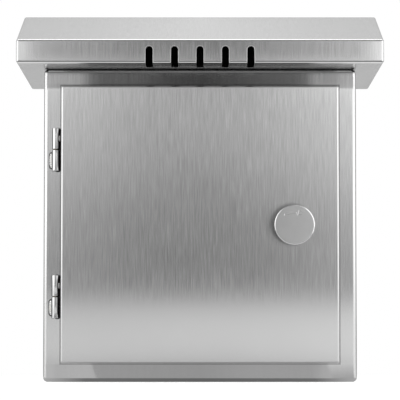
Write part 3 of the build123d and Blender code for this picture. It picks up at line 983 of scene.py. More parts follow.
# Painted shade on both long edges of each hinge barrel, where it meets the frame and the door's edge.
HINGE_SHADE_PATCHES = by_hinges(-142.3, (1.7, 22.5), 0.80, 3.0) + by_hinges(-133.6, (2.5, 22.5), 0.90, 3.0)
DOOR_SHADE_PATCHES = (
    # Painted shade on the door's edge in the gap beside each hinge barrel.
    *by_hinges(-135.0, (2.4, 21.5), 0.92, 6.0),
    # Painted shadow of the lock's cover on the door, soft and reaching furthest to its left.
    ShadePatch((85.0, 149.6), (25.5, 22.5), 0.26, 1.4, back=-102.8),
    ShadePatch((87.5, 150.1), (21.9, 20.6), 0.40, 4.0, back=-102.8),
)
# Painted shade on the hood's underside in front of the body.
UNDER_HOOD_SHADE = ShadePatch((0.0, 300.0), (128.0, 0.2), 0.50, 2.5, back=-117.0)
# Deburred edges of the slots, given a paler grey than the sheet as a painted highlight.
SLOT_EDGE = GroundSteel("deburred_slot_edge_highlight", "stainless_sheet", 0.86, 0.30)
HOOD_SHEET = VentedSteel("brushed_hood_sheet", "stainless_sheet", contrast=0.20, shade_patches=(UNDER_HOOD_SHADE,))
BODY_SHEET = FramedSteel("brushed_body_sheet", "stainless_sheet", shade_patches=BODY_SHADE_PATCHES)
DOOR_SHEET = BrushedSteel("brushed_door_sheet", "stainless_sheet", shade_patches=DOOR_SHADE_PATCHES)
BRACKET_SHEET = BrushedSteel("thick_bracket_sheet", "stainless_sheet", 0.57, 0.26, 0.5, 0.20, 0.0)
HINGE_BAR = GroundSteel("ground_hinge_bar", "hinge_steel", shade_patches=HINGE_SHADE_PATCHES)
WELD_BEAD = WeldMetal("bare_weld", "hinge_steel")
# Darkened copy of the bare weld: painted shade in the gap between the hinge barrel and the door.
SHADED_WELD = WeldMetal("weld_in_painted_shade", "hinge_steel", 0.20)
LOCK_PLATE = SatinPlate("satin_lock_plating", "lock_plating")
ZINC = ZincPlate("bright_zinc", "zinc_steel")
SPANGLE = GalvanisedSheet("spangled_zinc_sheet", "galvanised_sheet")
RUBBER = MouldedRubber("black_moulded_rubber", "black_rubber")
FOAM = MouldedRubber("black_cell_foam", "black_rubber", 0.026, 900.0, 0.00022)
BRASS = TurnedBrass("turned_brass", "brass")
# Darkened copy of the brass: the hinge washers carry painted shade of the gap between the knuckles.
SHADED_BRASS = TurnedBrass("brass_in_painted_shade", "brass", 0.14)


# Pieces

def linked(name: str, data: bpy.types.ID) -> bpy.types.Object:
    """New object in the scene."""
    thing = bpy.data.objects.new(name, data)
    bpy.context.scene.collection.objects.link(thing)
    return thing


def finish_piece(piece: bpy.types.Object, body: str, finish: Finish, replaced: Sequence[str]) -> None:
    """Gives a piece its finish and body, and hides the CAD nodes that it stands for.

    Args:
        piece: The object.
        body: CAD body that it moves with.
        finish: Its surface treatment.
        replaced: CAD nodes that it stands for.
    """
    piece.data.materials.clear()
    piece.data.materials.append(finish.material())
    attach(piece, body)
    if replaced:
        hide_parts(*replaced)
    LOG.info("%s: %d faces on %s", piece.name, len(piece.data.polygons), body)


def mark_sharp(mesh: bpy.types.Mesh, degrees: float) -> None:
    """Makes a mesh smooth but for each edge whose two faces turn by more than an angle.

    Args:
        mesh: The mesh.
        degrees: That angle.
    """
    mesh.shade_smooth()
    edge = np.empty(len(mesh.loops), np.int32)
    mesh.loops.foreach_get("edge_index", edge)
    sides = np.empty(len(mesh.polygons), np.int32)
    mesh.polygons.foreach_get("loop_total", sides)
    normal = np.empty(3 * len(mesh.polygons))
    mesh.polygons.foreach_get("normal", normal)
    by_corner = np.repeat(normal.reshape(-1, 3), sides, axis=0)[np.argsort(edge, kind="stable")]
    uses = np.bincount(edge, minlength=len(mesh.edges))
    first = np.cumsum(uses) - uses
    paired = uses == 2
    cosine = np.sum(by_corner[first[paired]] * by_corner[first[paired] + 1], axis=1)
    sharp = np.ones(len(mesh.edges), bool)
    sharp[paired] = cosine < math.cos(math.radians(degrees))
    mesh.edges.foreach_set("use_edge_sharp", sharp)


def add_piece(name: str, surface: Surface, body: str, finish: Finish, replaced: Sequence[str] = (),
              sharp: float = 38.0) -> None:
    """Mesh object of a closed surface, merged at its seams, facing outwards and smooth up to an angle.

    Args:
        name: Name of the piece.
        surface: Its surface.
        body: CAD body that it moves with.
        finish: Its surface treatment.
        replaced: CAD nodes that it stands for.
        sharp: Angle in degrees above which an edge stays sharp.
    """
    mesh = bpy.data.meshes.new(name)
    mesh.from_pydata(surface.points * MM, [], surface.quads)
    work = bmesh.new()
    work.from_mesh(mesh)
    bmesh.ops.remove_doubles(work, verts=work.verts, dist=2e-7)
    bmesh.ops.dissolve_degenerate(work, edges=work.edges, dist=1e-8)
    bmesh.ops.recalc_face_normals(work, faces=work.faces)
    work.to_mesh(mesh)
    work.free()
    mark_sharp(mesh, sharp)
    finish_piece(linked(name, mesh), body, finish, replaced)


def add_copies(node: str, made: str, surface: Surface, facing: Facing, places: Sequence[Triple],
               finish: Finish, body: str = "body", sharp: float = 38.0) -> None:
    """Copies of a surface as one piece, which is named after the CAD node that it stands for.

    Args:
        node: CAD node.
        made: How the piece is made, which ends its name.
        surface: One copy.
        facing: Direction of the copies' own height axis.
        places: Where the copies go.
        finish: Its surface treatment.
        body: CAD body that it moves with.
        sharp: Angle in degrees above which an edge stays sharp.
    """
    add_piece(f"{node}_{made}", surface.repeated(facing, places), body, finish, [node], sharp)


def add_smooth_copy(node: str, made: str, finish: Finish, body: str = "body", ahead: float = 0.0) -> None:
    """Copy of a CAD node with its triangles merged, its bends smooth and its flats flat.

    Args:
        node: CAD node, which the copy stands for.
        made: How the piece is made, which ends its name.
        finish: Its surface treatment.
        body: CAD body that it moves with.
        ahead: How far it stands ahead of the node, in millimetres, where it needs running room.
    """
    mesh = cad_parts[node].data.copy()
    mesh.name = f"{node}_{made}"
    if mesh.has_custom_normals:
        mesh.attributes.remove(mesh.attributes["custom_normal"])
    work = bmesh.new()
    work.from_mesh(mesh)
    bmesh.ops.remove_doubles(work, verts=work.verts, dist=2e-6)
    work.to_mesh(mesh)
    work.free()
    mesh.transform(Matrix.Translation((0, -ahead * MM, 0)))
    mark_sharp(mesh, SHARP_ANGLE)
    piece = linked(f"{node}_{made}", mesh)
    even = piece.modifiers.new("flat faces stay flat", "WEIGHTED_NORMAL")
    even.keep_sharp = True
    even.weight = FLAT_WEIGHT
    finish_piece(piece, body, finish, [node])


def mirrored(half_x: float, half_y: float) -> list[tuple[float, float]]:
    """Four places, one in each quarter."""
    return [(x, y) for x in (-half_x, half_x) for y in (-half_y, half_y)]


@dataclass
class Thread:
    """Sizes of a metric thread and its nut.

    Attributes:
        diameter: Outer diameter.
        pitch: Rise of one turn.
        flats: Width of the nut across its flats.
        nut_height: Height of the nut.
    """

    diameter: float
    pitch: float
    flats: float
    nut_height: float

    def nut(self) -> Surface:
        """Nut from height 0 upwards."""
        return hexagon(self.flats, self.diameter + 0.1, self.nut_height)

    def stud(self, length: float, plain: float = 0.0) -> Surface:
        """Threaded stud from height 0 upwards."""
        return threaded(self.diameter, self.pitch, length, plain)


SMALL = Thread(5.0, 0.8, 8.0, 4.0)
MEDIUM = Thread(6.0, 1.0, 10.0, 5.0)
LARGE = Thread(8.0, 1.25, 13.0, 6.5)


@dataclass
class Cabinet:
    """Folded body.

    Attributes:
        shell: CAD node of its shell.
    """

    shell: str = "body_shell"

    def build(self) -> None:
        """Makes the folded shell."""
        add_smooth_copy(self.shell, "folded", BODY_SHEET)


@dataclass
class RainHood:
    """Vented hood with its fixings.

    Attributes:
        front: Place of its lip along Y.
        floor: Height of its underside.
        bend: Radius of its lower bend.
        slot_end: Place along Y of a slot's end on the underside.
        rim: Radius of the slots' deburred edge.
        stud_x: Half the studs' spacing along X.
        stud_y: Half the studs' spacing along Y.
        stud_length: Length of a stud.
        sheet: Thickness of the body's top.
    """

    front: float = -143.0
    floor: float = 300.0
    bend: float = 2.5
    slot_end: float = -102.0
    rim: float = 0.11
    stud_x: float = 120.0
    stud_y: float = 60.0
    stud_length: float = 18.0
    sheet: float = 1.5

    def slot_rim(self, x: float) -> Surface:
        """Deburred edge of one slot, a bead along its outline over the lip, the bend and the underside.

        A place s along the sheet is on the lip up to its bend, then on the bend at (s - lip) / radius,
        then on the underside.

        Args:
            x: Middle of the slot.

        Returns:
            The closed bead, flush with the sheet's outer face.
        """
        lip = SLOT_TOP - self.floor - self.bend
        arc = self.bend * math.pi / 2
        length = lip + arc + self.slot_end - self.front - self.bend
        outline = rounded_rectangle(SLOT_WIDTH, length, SLOT_WIDTH / 2, 17, 40)
        moved = np.abs(outline - np.roll(outline, 1, axis=0)).max(axis=1) > 1e-6
        outline = outline[moved]
        s = length / 2 - outline[:, 1]
        turn = np.clip((s - lip) / self.bend, 0, math.pi / 2)
        normal = np.stack([np.zeros_like(s), -np.cos(turn), -np.sin(turn)], axis=1)
        y = self.front + self.bend + np.maximum(s - lip - arc, 0)
        z = self.floor + self.bend + np.maximum(lip - s, 0)
        middle = np.stack([x + outline[:, 0], y, z], axis=1)
        return tube(middle + normal * (self.bend - self.rim), normal, self.rim)

    def build(self) -> None:
        """Makes the hood, its slots' edges, studs and nuts."""
        add_smooth_copy("rain_hood", "folded", HOOD_SHEET)
        middles = (np.arange(SLOT_COUNT) - (SLOT_COUNT - 1) / 2) * SLOT_PITCH
        rims = Surface.joined([self.slot_rim(x) for x in middles])
        add_piece("vent_slot_edges", rims, "body", SLOT_EDGE)
        corners = mirrored(self.stud_x, self.stud_y)
        stud = MEDIUM.stud(self.stud_length).flipped()
        places = [(x, y, self.floor) for x, y in corners]
        add_copies("hood_studs", "threaded", stud, Facing.UP, places, ZINC)
        base = self.floor - self.sheet - MEDIUM.nut_height
        places = [(x, y, base) for x, y in corners]
        add_copies("hood_nuts", "chamfered", MEDIUM.nut(), Facing.UP, places, ZINC)


@dataclass
class Door:
    """Overlay door with its foam seal and earth stud.

    Attributes:
        centre: Height of its middle.
        inner: Place of its inner face along Y.
        seal_width: Outer width of the seal.
        seal_height: Outer height of the seal.
        seal_band: Width of the foam.
        seal_depth: Thickness of the foam.
        seal_corner: Outer corner radius of the seal.
        seal_shoulder: Height of the foam's shoulders as a share of its crown's.
        seal_edge: Size of the foam's softened edges.
        earth_x: Place of the earth stud along X.
        earth_z: Height of the earth stud.
        earth_length: Length of the earth stud.
    """

    centre: float = 150.25
    inner: float = -102.0
    seal_width: float = 260.0
    seal_height: float = 260.0
    seal_band: float = 12.0
    seal_depth: float = 4.7
    seal_corner: float = 8.0
    seal_shoulder: float = 0.86
    seal_edge: float = 1.3
    earth_x: float = -94.75
    earth_z: float = 50.5
    earth_length: float = 20.0

    def seal(self) -> Surface:
        """Foam frame, a section carried between an outer and an inner outline.

        A point is outer (1 - s) + inner s at depth t, where (s, t) runs round a section with
        softened corners and a low crown.

        Returns:
            The closed frame.
        """
        outer = rounded_rectangle(self.seal_width, self.seal_height, self.seal_corner, 12, 14)
        inner_size = (self.seal_width - 2 * self.seal_band, self.seal_height - 2 * self.seal_band)
        inner = rounded_rectangle(*inner_size, self.seal_corner / 2, 12, 14)
        band, depth = self.seal_band, self.seal_depth
        shoulder = self.seal_shoulder * depth
        corners = [(0, 0), (band, 0), (band, shoulder), (band / 2, depth), (0, shoulder)]
        section = softened(corners, self.seal_edge, 6, closed=True)
        share = (section[:, 0] / band)[None, :, None]
        flat = outer[:, None] * (1 - share) + inner[:, None] * share
        y = self.inner + np.broadcast_to(section[:, 1], flat.shape[:2])
        points = np.stack([flat[..., 0], y, self.centre + flat[..., 1]], axis=-1)
        return Surface.grid(points, wrap_rows=True, wrap_columns=True)

    def build(self) -> None:
        """Makes the folded panel, the seal and the earth stud with its nut."""
        add_smooth_copy("door_panel", "folded", DOOR_SHEET, "door")
        add_piece("door_seal_foam", self.seal(), "door", FOAM, ["door_gasket"])
        places = [(self.earth_x, self.inner, self.earth_z)]
        stud = MEDIUM.stud(self.earth_length)
        add_copies("door_earth_stud", "threaded", stud, Facing.BACK, places, BRASS, "door")
        add_copies("door_earth_nut", "chamfered", MEDIUM.nut(), Facing.BACK, places, BRASS, "door")


@dataclass
class Hinge:
    """One welded barrel hinge.

    Attributes:
        level: Which hinge it is, upper or lower.
        middle: Height of its middle.
        x: Place of its axis along X.
        y: Place of its axis along Y.
        diameter: Diameter of the barrel.
        length: Length of both knuckles and the washer.
        washer: Thickness of the washer.
        pin: Diameter of the pin.
        edge: Softened edge of the barrel.
        play: Room round the pin, across.
        cap: Thickness of the door knuckle's closed end.
        pin_short: How much shorter than the hinge the pin is.
        pin_edge: Softened edge of the pin.
        washer_step: How much smaller than the barrel the washer is, across.
        washer_edge: Softened edge of the washer.
        frame_bead: Radius, length, ripples and their depth of the weld to the frame.
        frame_bead_place: Place of that weld along X from the axis, and along Y.
        door_bead: Radius, length, ripples and their depth of the weld to the door.
        door_bead_place: Place of that weld along X, and along Y from the axis.
    """

    level: str
    middle: float
    x: float = -138.1
    y: float = -94.3
    diameter: float = 7.5
    length: float = 41.0
    washer: float = 0.8
    pin: float = 4.5
    edge: float = 0.55
    play: float = 0.1
    cap: float = 3.0
    pin_short: float = 6.0
    pin_edge: float = 0.4
    washer_step: float = 2.4
    washer_edge: float = 0.15
    frame_bead: tuple[float, ...] = (2.6, 14.0, 8.0, 0.34)
    frame_bead_place: tuple[float, float] = (-4.1, -91.0)
    door_bead: tuple[float, ...] = (2.2, 6.5, 5.0, 0.10)
    door_bead_place: tuple[float, float] = (-133.85, -2.7)

    @property
    def knuckle(self) -> float:
        """Length of one knuckle."""
        return (self.length - self.washer) / 2

    def barrel(self, base: float, closed_top: bool) -> Surface:
        """One knuckle, turned about the axis, with softened ends.

        Args:
            base: Height of its lower end.
            closed_top: Whether its bore stops below the top.

        Returns:
            The knuckle.
        """
        outer, bore, top = self.diameter / 2, (self.pin + self.play) / 2, self.knuckle
        if closed_top:
            roof = top - self.cap
            corners = [(0, roof), (bore, roof), (bore, 0), (outer, 0), (outer, top), (0, top)]
            profile = softened(corners, self.edge)
        else:
            profile = softened([(bore, 0), (outer, 0), (outer, top), (bore, top)], self.edge, closed=True)
            profile = np.concatenate([profile, profile[:1]])
        return turned(profile, 96).placed(Facing.UP, (self.x, self.y, base))

    def build(self) -> None:
        """Makes both knuckles, their welds, the pin and the washer."""
        low = self.middle - self.length / 2
        high = self.middle + self.washer / 2
        lower, upper = f"{self.level}_frame_knuckle", f"{self.level}_door_knuckle"
        add_piece(f"{lower}_turned", self.barrel(low, False), "body", HINGE_BAR, [lower])
        add_piece(f"{upper}_turned", self.barrel(high, True), "door", HINGE_BAR, [upper])
        x, y = self.frame_bead_place
        bead = weld(*self.frame_bead).placed(Facing.UP, (self.x + x, y, low + self.knuckle / 2))
        add_piece(f"{self.level}_frame_weld", bead, "body", WELD_BEAD)
        x, y = self.door_bead_place
        bead = weld(*self.door_bead).placed(Facing.UP, (x, self.y + y, high + self.knuckle / 2))
        # The weld to the door gets the painted shade of its gap.
        add_piece(f"{self.level}_door_weld", bead, "door", SHADED_WELD)
        half, end = self.pin / 2, self.length - self.pin_short
        pin = turned(softened([(0, 0), (half, 0), (half, end), (0, end)], self.pin_edge), 48)
        places = [(self.x, self.y, low)]
        add_copies(f"{self.level}_hinge_pin", "turned", pin, Facing.UP, places, HINGE_BAR)
        disc = ring(self.diameter - self.washer_step, self.pin + self.play, self.washer, self.washer_edge)
        places = [(self.x, self.y, self.middle - self.washer / 2)]
        # The washer gets the painted shade of the gap between the knuckles.
        add_copies(f"{self.level}_hinge_washer", "turned", disc, Facing.UP, places, SHADED_BRASS)


@dataclass
class Lock:
    """Cam lock with its round rain cover.

    Attributes:
        x: Place of the lock's axis along X.
        z: Height of the lock's axis.
        cover_front: Front of the cover along Y.
        cover_back: Back of the cover along Y.
        cover_radius: Radius of the cover.
        rim: Radius of the cover's edge.
        pivot_drop: How far the cover's pin is below its centre.
        pin: Diameter of the cover's pin.
        pin_length: Length of the cover's pin behind it.
        pin_root: Length of the pin within the cover.
        arrow_radius: Radius of the engraved arrow about the pin.
        arrow_width: Width of its shaft.
        arrow_tail: Place of its tail to the right of the cover's centre.
        arrow_neck: Place where its shaft ends, just short of its head.
        arrow_head: Corners of its head, right of and above the cover's centre, clockwise.
        arrow_depth: Depth of the engraving.
        arrow_wall: Width of the engraving's sloping walls.
        running_room: Room under the plug's head, so that it turns freely.
        seal: Outer diameter, bore, thickness and edge of the seal under the housing.
        seal_front: Front of the seal along Y.
        nut: Flats, bore and height of the housing's nut.
        panel_back: Inner face of the door along Y, where that nut sits.
        washer: Outer diameter, bore, thickness and edge of the cam's washer.
        cam_back: Back of the cam along Y.
        back_edge: Bevel of the cover's back edge.
        pin_edge: Softened edge of the cover's pin.
    """

    x: float = LOCK_CENTRE[0]
    z: float = LOCK_CENTRE[1]
    cover_front: float = -112.3
    cover_back: float = -108.8
    cover_radius: float = 19.25
    rim: float = 1.2
    pivot_drop: float = 14.5
    pin: float = 4.0
    pin_length: float = 3.0
    pin_root: float = 0.5
    arrow_radius: float = 25.9
    arrow_width: float = 1.7
    arrow_tail: float = -9.8
    arrow_neck: float = 1.9
    arrow_head: tuple[tuple[float, float], ...] = ((2.7, 8.5), (4.3, 14.0), (8.4, 10.4))
    arrow_depth: float = 0.36
    arrow_wall: float = 0.5
    running_room: float = 0.03
    seal: tuple[float, ...] = (34.0, 22.4, 1.0, 0.25)
    seal_front: float = -104.5
    nut: Triple = (28.0, 22.1, 5.0)
    panel_back: float = -102.0
    washer: tuple[float, ...] = (14.0, 6.1, 1.5, 0.25)
    cam_back: float = -84.0
    back_edge: float = 0.3
    pin_edge: float = 0.3

    def arrow_distance(self, a: Array, b: Array) -> Array:
        """Distance outside the engraved arrow.

        It is the smaller of the distance from the shaft, a band along an arc about the pin, and the
        largest of the distances outside the head's three edges.

        Args:
            a: Places to the right of the cover's centre.
            b: Places above the cover's centre.

        Returns:
            Distance of each place in millimetres, below zero within the arrow.
        """
        up = b + self.pivot_drop
        beside = np.abs(np.hypot(a, up) - self.arrow_radius) - self.arrow_width / 2
        beyond = np.maximum(self.arrow_tail - a, a - self.arrow_neck)
        corners = np.array(self.arrow_head)
        edges = np.roll(corners, -1, axis=0) - corners
        square = np.stack([-edges[:, 1], edges[:, 0]], axis=1)
        outward = square / np.linalg.norm(edges, axis=1)[:, None]
        offset = np.stack([a, b], axis=-1)[..., None, :] - corners
        head = np.max(np.sum(offset * outward, axis=-1), axis=-1)
        return np.minimum(np.maximum(beside, beyond), head)

    def cover(self) -> Surface:
        """Disc with a rolled edge and an engraved arrow, on its pin.

        The front is a polar grid, and its depth is the engraving's depth times a smooth step of the
        distance from the arrow's outline.

        Returns:
            The disc and its pin.
        """
        flat = self.cover_radius - self.rim
        runs = ((0, 7.0, 8), (7.2, 16.6, 80), (16.9, flat, 6))
        radius = np.concatenate([np.linspace(*run) for run in runs])
        angle = np.linspace(0, TURN, 480, endpoint=False)
        a = radius[:, None] * np.sin(angle)
        b = radius[:, None] * np.cos(angle)
        share = np.clip(0.5 - self.arrow_distance(a, b) / self.arrow_wall, 0, 1)
        y = self.cover_front + self.arrow_depth * share * share * (3 - 2 * share)
        front = np.stack([self.x + a, y, self.z + b], axis=-1)
        turn = np.linspace(0, math.pi / 2, 9)[1:]
        outer, bevel = self.cover_radius, self.back_edge
        edge_radius = np.concatenate([flat + self.rim * np.sin(turn), [outer, outer - bevel, 0]])
        edge_y = np.concatenate([self.cover_front + self.rim * (1 - np.cos(turn)),
                                 [self.cover_back - bevel, self.cover_back, self.cover_back]])
        edge = np.stack(np.broadcast_arrays(
            self.x + np.outer(edge_radius, np.sin(angle)),
            edge_y[:, None],
            self.z + np.outer(edge_radius, np.cos(angle)),
        ), axis=-1)
        disc = Surface.grid(np.concatenate([front, edge]), wrap_columns=True)
        half, root, tip = self.pin / 2, -self.pin_root, self.pin_length
        pin = turned(softened([(0, root), (half, root), (half, tip), (0, tip)], self.pin_edge), 40)
        pin = pin.placed(Facing.BACK, (self.x, self.cover_back, self.z - self.pivot_drop))
        return Surface.joined([disc, pin])

    def add_on_axis(self, node: str, made: str, surface: Surface, y: float, finish: Finish,
                    body: str) -> None:
        """Piece on the lock's axis that begins at a place along Y."""
        add_copies(node, made, surface, Facing.BACK, [(self.x, y, self.z)], finish, body)

    def build(self) -> None:
        """Makes the cover, the housing, the plug and what holds them."""
        add_piece("lock_cover_engraved", self.cover(), "lock_cover", LOCK_PLATE, ["lock_cover"], 50.0)
        add_smooth_copy("lock_housing", "turned", LOCK_PLATE, "door")
        add_smooth_copy("lock_plug", "turned", LOCK_PLATE, "lock_core", self.running_room)
        self.add_on_axis("lock_seal", "moulded", ring(*self.seal), self.seal_front, RUBBER, "door")
        self.add_on_axis("lock_nut", "chamfered", hexagon(*self.nut), self.panel_back, ZINC, "door")
        add_smooth_copy("lock_cam", "stamped", ZINC, "lock_core")
        self.add_on_axis("cam_washer", "stamped", ring(*self.washer), self.cam_back, ZINC, "lock_core")
        nut_front = self.cam_back + self.washer[2]
        self.add_on_axis("cam_nut", "chamfered", MEDIUM.nut(), nut_front, ZINC, "lock_core")


@dataclass
class EquipmentPlate:
    """Mounting plate on four studs, with the wall's earth stud.

    Attributes:
        front: Front of the plate along Y.
        back: Back of the plate along Y.
        wall: Inner face of the body's back along Y.
        centre: Height of the plate's middle.
        stud_inset: Half the studs' spacing.
        stud_end: How far a stud stands out of its nut.
        spacer: Outer diameter and bore of a spacer.
        spacer_edge: Softened edge of a spacer.
        earth: Foot of the earth stud on the left wall.
        earth_length: Length of the earth stud.
    """

    front: float = 74.5
    back: float = 76.5
    wall: float = 88.5
    centre: float = 150.25
    stud_inset: float = 105.0
    stud_end: float = 3.0
    spacer: tuple[float, float] = (12.0, 6.1)
    spacer_edge: float = 0.4
    earth: Triple = (-148.5, 48.5, 40.0)
    earth_length: float = 20.0

    def build(self) -> None:
        """Makes the plate, its studs, spacers and nuts, and the earth stud."""
        add_smooth_copy("mounting_plate", "punched", SPANGLE)
        nut_front = self.front - MEDIUM.nut_height
        stud = MEDIUM.stud(self.wall - nut_front + self.stud_end).flipped()
        spacer = ring(*self.spacer, self.wall - self.back, self.spacer_edge)
        rows = (
            ("plate_studs", "threaded", stud, self.wall),
            ("plate_spacers", "turned", spacer, self.back),
            ("plate_nuts", "chamfered", MEDIUM.nut(), nut_front),
        )
        for node, made, surface, y in rows:
            places = [(x, y, self.centre + z) for x, z in mirrored(self.stud_inset, self.stud_inset)]
            add_copies(node, made, surface, Facing.BACK, places, ZINC)
        stud = MEDIUM.stud(self.earth_length)
        add_copies("earth_stud", "threaded", stud, Facing.RIGHT, [self.earth], BRASS)
        add_copies("earth_nut", "chamfered", MEDIUM.nut(), Facing.RIGHT, [self.earth], BRASS)


@dataclass
class CableEntry:
    """Gland plate in the bottom with three membrane grommets.

    Attributes:
        y: Middle of the entry along Y.
        plate_low: Underside of the plate.
        plate_high: Top of the plate.
        sheet: Top of the body's bottom sheet.
        pitch: Distance between grommets.
        hole: Diameter of a grommet's hole.
        flange: How far a grommet's flanges reach past its hole.
        wall: Thickness of its rubber.
        collar: Diameter of its collar's top.
        collar_height: Height of its collar.
        membrane: Thickness of its membrane.
        groove: Depth of the ring in its membrane.
        neck_room: Room between its neck and the hole.
        edge: Size of its softened edges.
        stud_x: Half the studs' spacing along X.
        stud_y: Half the studs' spacing along Y.
        stud_end: How far a stud stands out of its nut.
    """

    y: float = 35.0
    plate_low: float = 3.0
    plate_high: float = 5.0
    sheet: float = 1.5
    pitch: float = 44.0
    hole: float = 24.0
    flange: float = 3.0
    wall: float = 1.6
    collar: float = 12.0
    collar_height: float = 8.0
    membrane: float = 1.2
    groove: float = 0.35
    neck_room: float = 0.05
    edge: float = 0.45
    stud_x: float = 79.0
    stud_y: float = 34.0
    stud_end: float = 3.0

    def grommet(self) -> Surface:
        """Rubber grommet turned from its section, with a ringed membrane on top."""
        hole, collar = self.hole / 2, self.collar / 2
        neck, rim = hole - self.neck_room, hole + self.flange
        low, high = self.plate_low - self.wall, self.plate_high + self.wall
        top = high + self.collar_height
        under = top - self.membrane
        corners = [
            (0, under), (collar - self.wall, under), (neck - self.wall, low), (rim, low),
            (rim, self.plate_low), (neck, self.plate_low), (neck, self.plate_high), (rim, self.plate_high),
            (rim, high), (neck, high), (0.75 * neck + 0.25 * collar, 0.75 * high + 0.25 * top),
            (0.45 * neck + 0.55 * collar, 0.5 * high + 0.5 * top), (collar, top),
            (0.7 * collar, top), (0.6 * collar, top - self.groove), (0.5 * collar, top), (0, top),
        ]
        return turned(softened(corners, self.edge), 56)

    def build(self) -> None:
        """Makes the plate, its gasket, studs, nuts and grommets."""
        add_smooth_copy("gland_plate", "punched", BRACKET_SHEET)
        add_smooth_copy("gland_gasket", "cut", FOAM)
        corners = [(x, self.y + y) for x, y in mirrored(self.stud_x, self.stud_y)]
        stud = SMALL.stud(self.plate_high + SMALL.nut_height + self.stud_end - self.sheet)
        places = [(x, y, self.sheet) for x, y in corners]
        add_copies("gland_studs", "threaded", stud, Facing.UP, places, ZINC)
        places = [(x, y, self.plate_high) for x, y in corners]
        add_copies("gland_nuts", "chamfered", SMALL.nut(), Facing.UP, places, ZINC)
        places = [(x, self.y, 0.0) for x in (-self.pitch, 0.0, self.pitch)]
        add_copies("cable_grommets", "moulded", self.grommet(), Facing.UP, places, RUBBER, sharp=60.0)


@dataclass
class PoleMount:
    """Two vee brackets and straps, with their bolts.

    Attributes:
        heights: Heights of the two brackets.
        wall: Inner face of the body's back along Y.
        foot: Rear face of the brackets' feet along Y.
        web: Front face of the brackets' webs along Y.
        seat: Front face of the straps' ears along Y.
        sheet: Thickness of the brackets and straps.
        foot_x: Half the spacing of the bolts through the feet.
        ear_x: Half the spacing of the bolts through the ears.
        head: Height of a bolt's head.
        disc: Outer diameter and bore of a washer, of metal or rubber.
        washer: Thickness of a metal washer.
        washer_edge: Softened edge of a metal washer.
        seal: Thickness of a rubber washer.
        seal_edge: Softened edge of a rubber washer.
        plain: Length of a bolt's shank that has no thread.
        stud_end: How far a bolt stands out of its nut.
    """

    heights: tuple[float, float] = (225.0, 75.0)
    wall: float = 88.5
    foot: float = 93.0
    web: float = 112.0
    seat: float = 117.0
    sheet: float = 3.0
    foot_x: float = 93.0
    ear_x: float = 56.0
    head: float = 5.3
    disc: tuple[float, float] = (16.0, 8.1)
    washer: float = 1.6
    washer_edge: float = 0.25
    seal: float = 1.5
    seal_edge: float = 0.35
    plain: float = 2.0
    stud_end: float = 3.0

    def bolt(self, grip: float) -> Surface:
        """Hexagon bolt that holds a thickness under its nut, with its head's inner face at height 0."""
        head = hexagon(LARGE.flats, 0.0, self.head).placed(Facing.UP, (0, 0, -self.head))
        return Surface.joined([head, LARGE.stud(grip + LARGE.nut_height + self.stud_end, self.plain)])

    def build(self) -> None:
        """Makes the brackets, straps, bolts, washers, seals and nuts."""
        for level in ("upper", "lower"):
            add_smooth_copy(f"{level}_pole_bracket", "bent", BRACKET_SHEET)
            add_smooth_copy(f"{level}_pole_strap", "bent", BRACKET_SHEET)
        nut_at = self.foot + self.washer
        seal_at = self.wall - self.seal
        ear_at = self.seat + self.sheet
        seal = ring(*self.disc, self.seal, self.seal_edge)
        washer = ring(*self.disc, self.washer, self.washer_edge)
        rows = (
            ("bracket_bolts", "threaded", self.bolt(nut_at - seal_at), self.foot_x, seal_at, ZINC),
            ("bracket_seals", "moulded", seal, self.foot_x, seal_at, RUBBER),
            ("bracket_washers", "stamped", washer, self.foot_x, self.foot, ZINC),
            ("bracket_nuts", "chamfered", LARGE.nut(), self.foot_x, nut_at, ZINC),
            ("strap_bolts", "threaded", self.bolt(ear_at - self.web), self.ear_x, self.web, ZINC),
            ("strap_nuts", "chamfered", LARGE.nut(), self.ear_x, ear_at, ZINC),
        )
        for node, made, surface, half_x, y, finish in rows:
            places = [(x, y, z) for x in (-half_x, half_x) for z in self.heights]
            add_copies(node, made, surface, Facing.BACK, places, finish)


# Studio

TOP_LEVEL = 4.0

# Light of the ring by height in metres: in front, behind, of the wings, the tips and the soft boxes
RING_FRONT = (
    (0.000, 0.22), (0.012, 0.40), (0.020, 0.78), (0.030, 1.02), (0.050, 0.96), (0.088, 0.97),
    (0.096, 0.88), (0.102, 0.50), (0.108, 0.29), (0.120, 0.245), (0.140, 0.245), (0.165, 0.26),
    (0.205, 0.280), (0.245, 0.335), (0.290, 0.405), (0.340, 0.455), (0.372, 0.472), (0.388, 0.62),
    (0.402, 0.25), (0.412, 0.148), (0.430, 0.168), (0.470, 0.155), (1.300, 0.155),
)
RING_BACK = ((0.000, 0.46), (0.200, 0.60), (0.600, 0.70), (0.900, 0.78), (1.300, 0.90))
WING_GAIN = (
    (0.000, 0.50), (0.018, 0.50), (0.028, 0.08), (0.095, 0.00), (0.130, 0.80), (0.165, 1.00),
    (0.340, 0.95), (0.370, 0.95), (0.390, 1.60), (0.412, 0.00),
)
TIP_GAIN = ((0.400, 0.0), (0.412, 0.62), (0.422, 1.25), (0.432, 2.0))
BOX_LIGHT = ((0.000, 1.20), (0.090, 1.40), (0.200, 2.0))

# Light of the ring by turn, 0 in front and 1 behind
WINGS = ((0.010, 0.0), (0.036, 0.36), (0.058, 1.02), (0.073, 1.45), (0.135, 1.50))
TIPS = (
    (0.012, 0.0), (0.030, 0.40), (0.042, 1.35), (0.050, 2.00), (0.056, 2.35), (0.066, 1.90), (0.135, 1.60),
)
BOX_SHARE = ((0.165, 0.0), (0.195, 1.0), (0.470, 1.0), (0.520, 0.0))
BACK_SHARE = ((0.300, 0.0), (0.340, 1.0))
BACK_GAIN = (
    (0.340, 0.80), (0.420, 0.70), (0.560, 0.75), (0.700, 0.85), (0.900, 0.92), (0.950, 1.0), (1.000, 1.12),
)


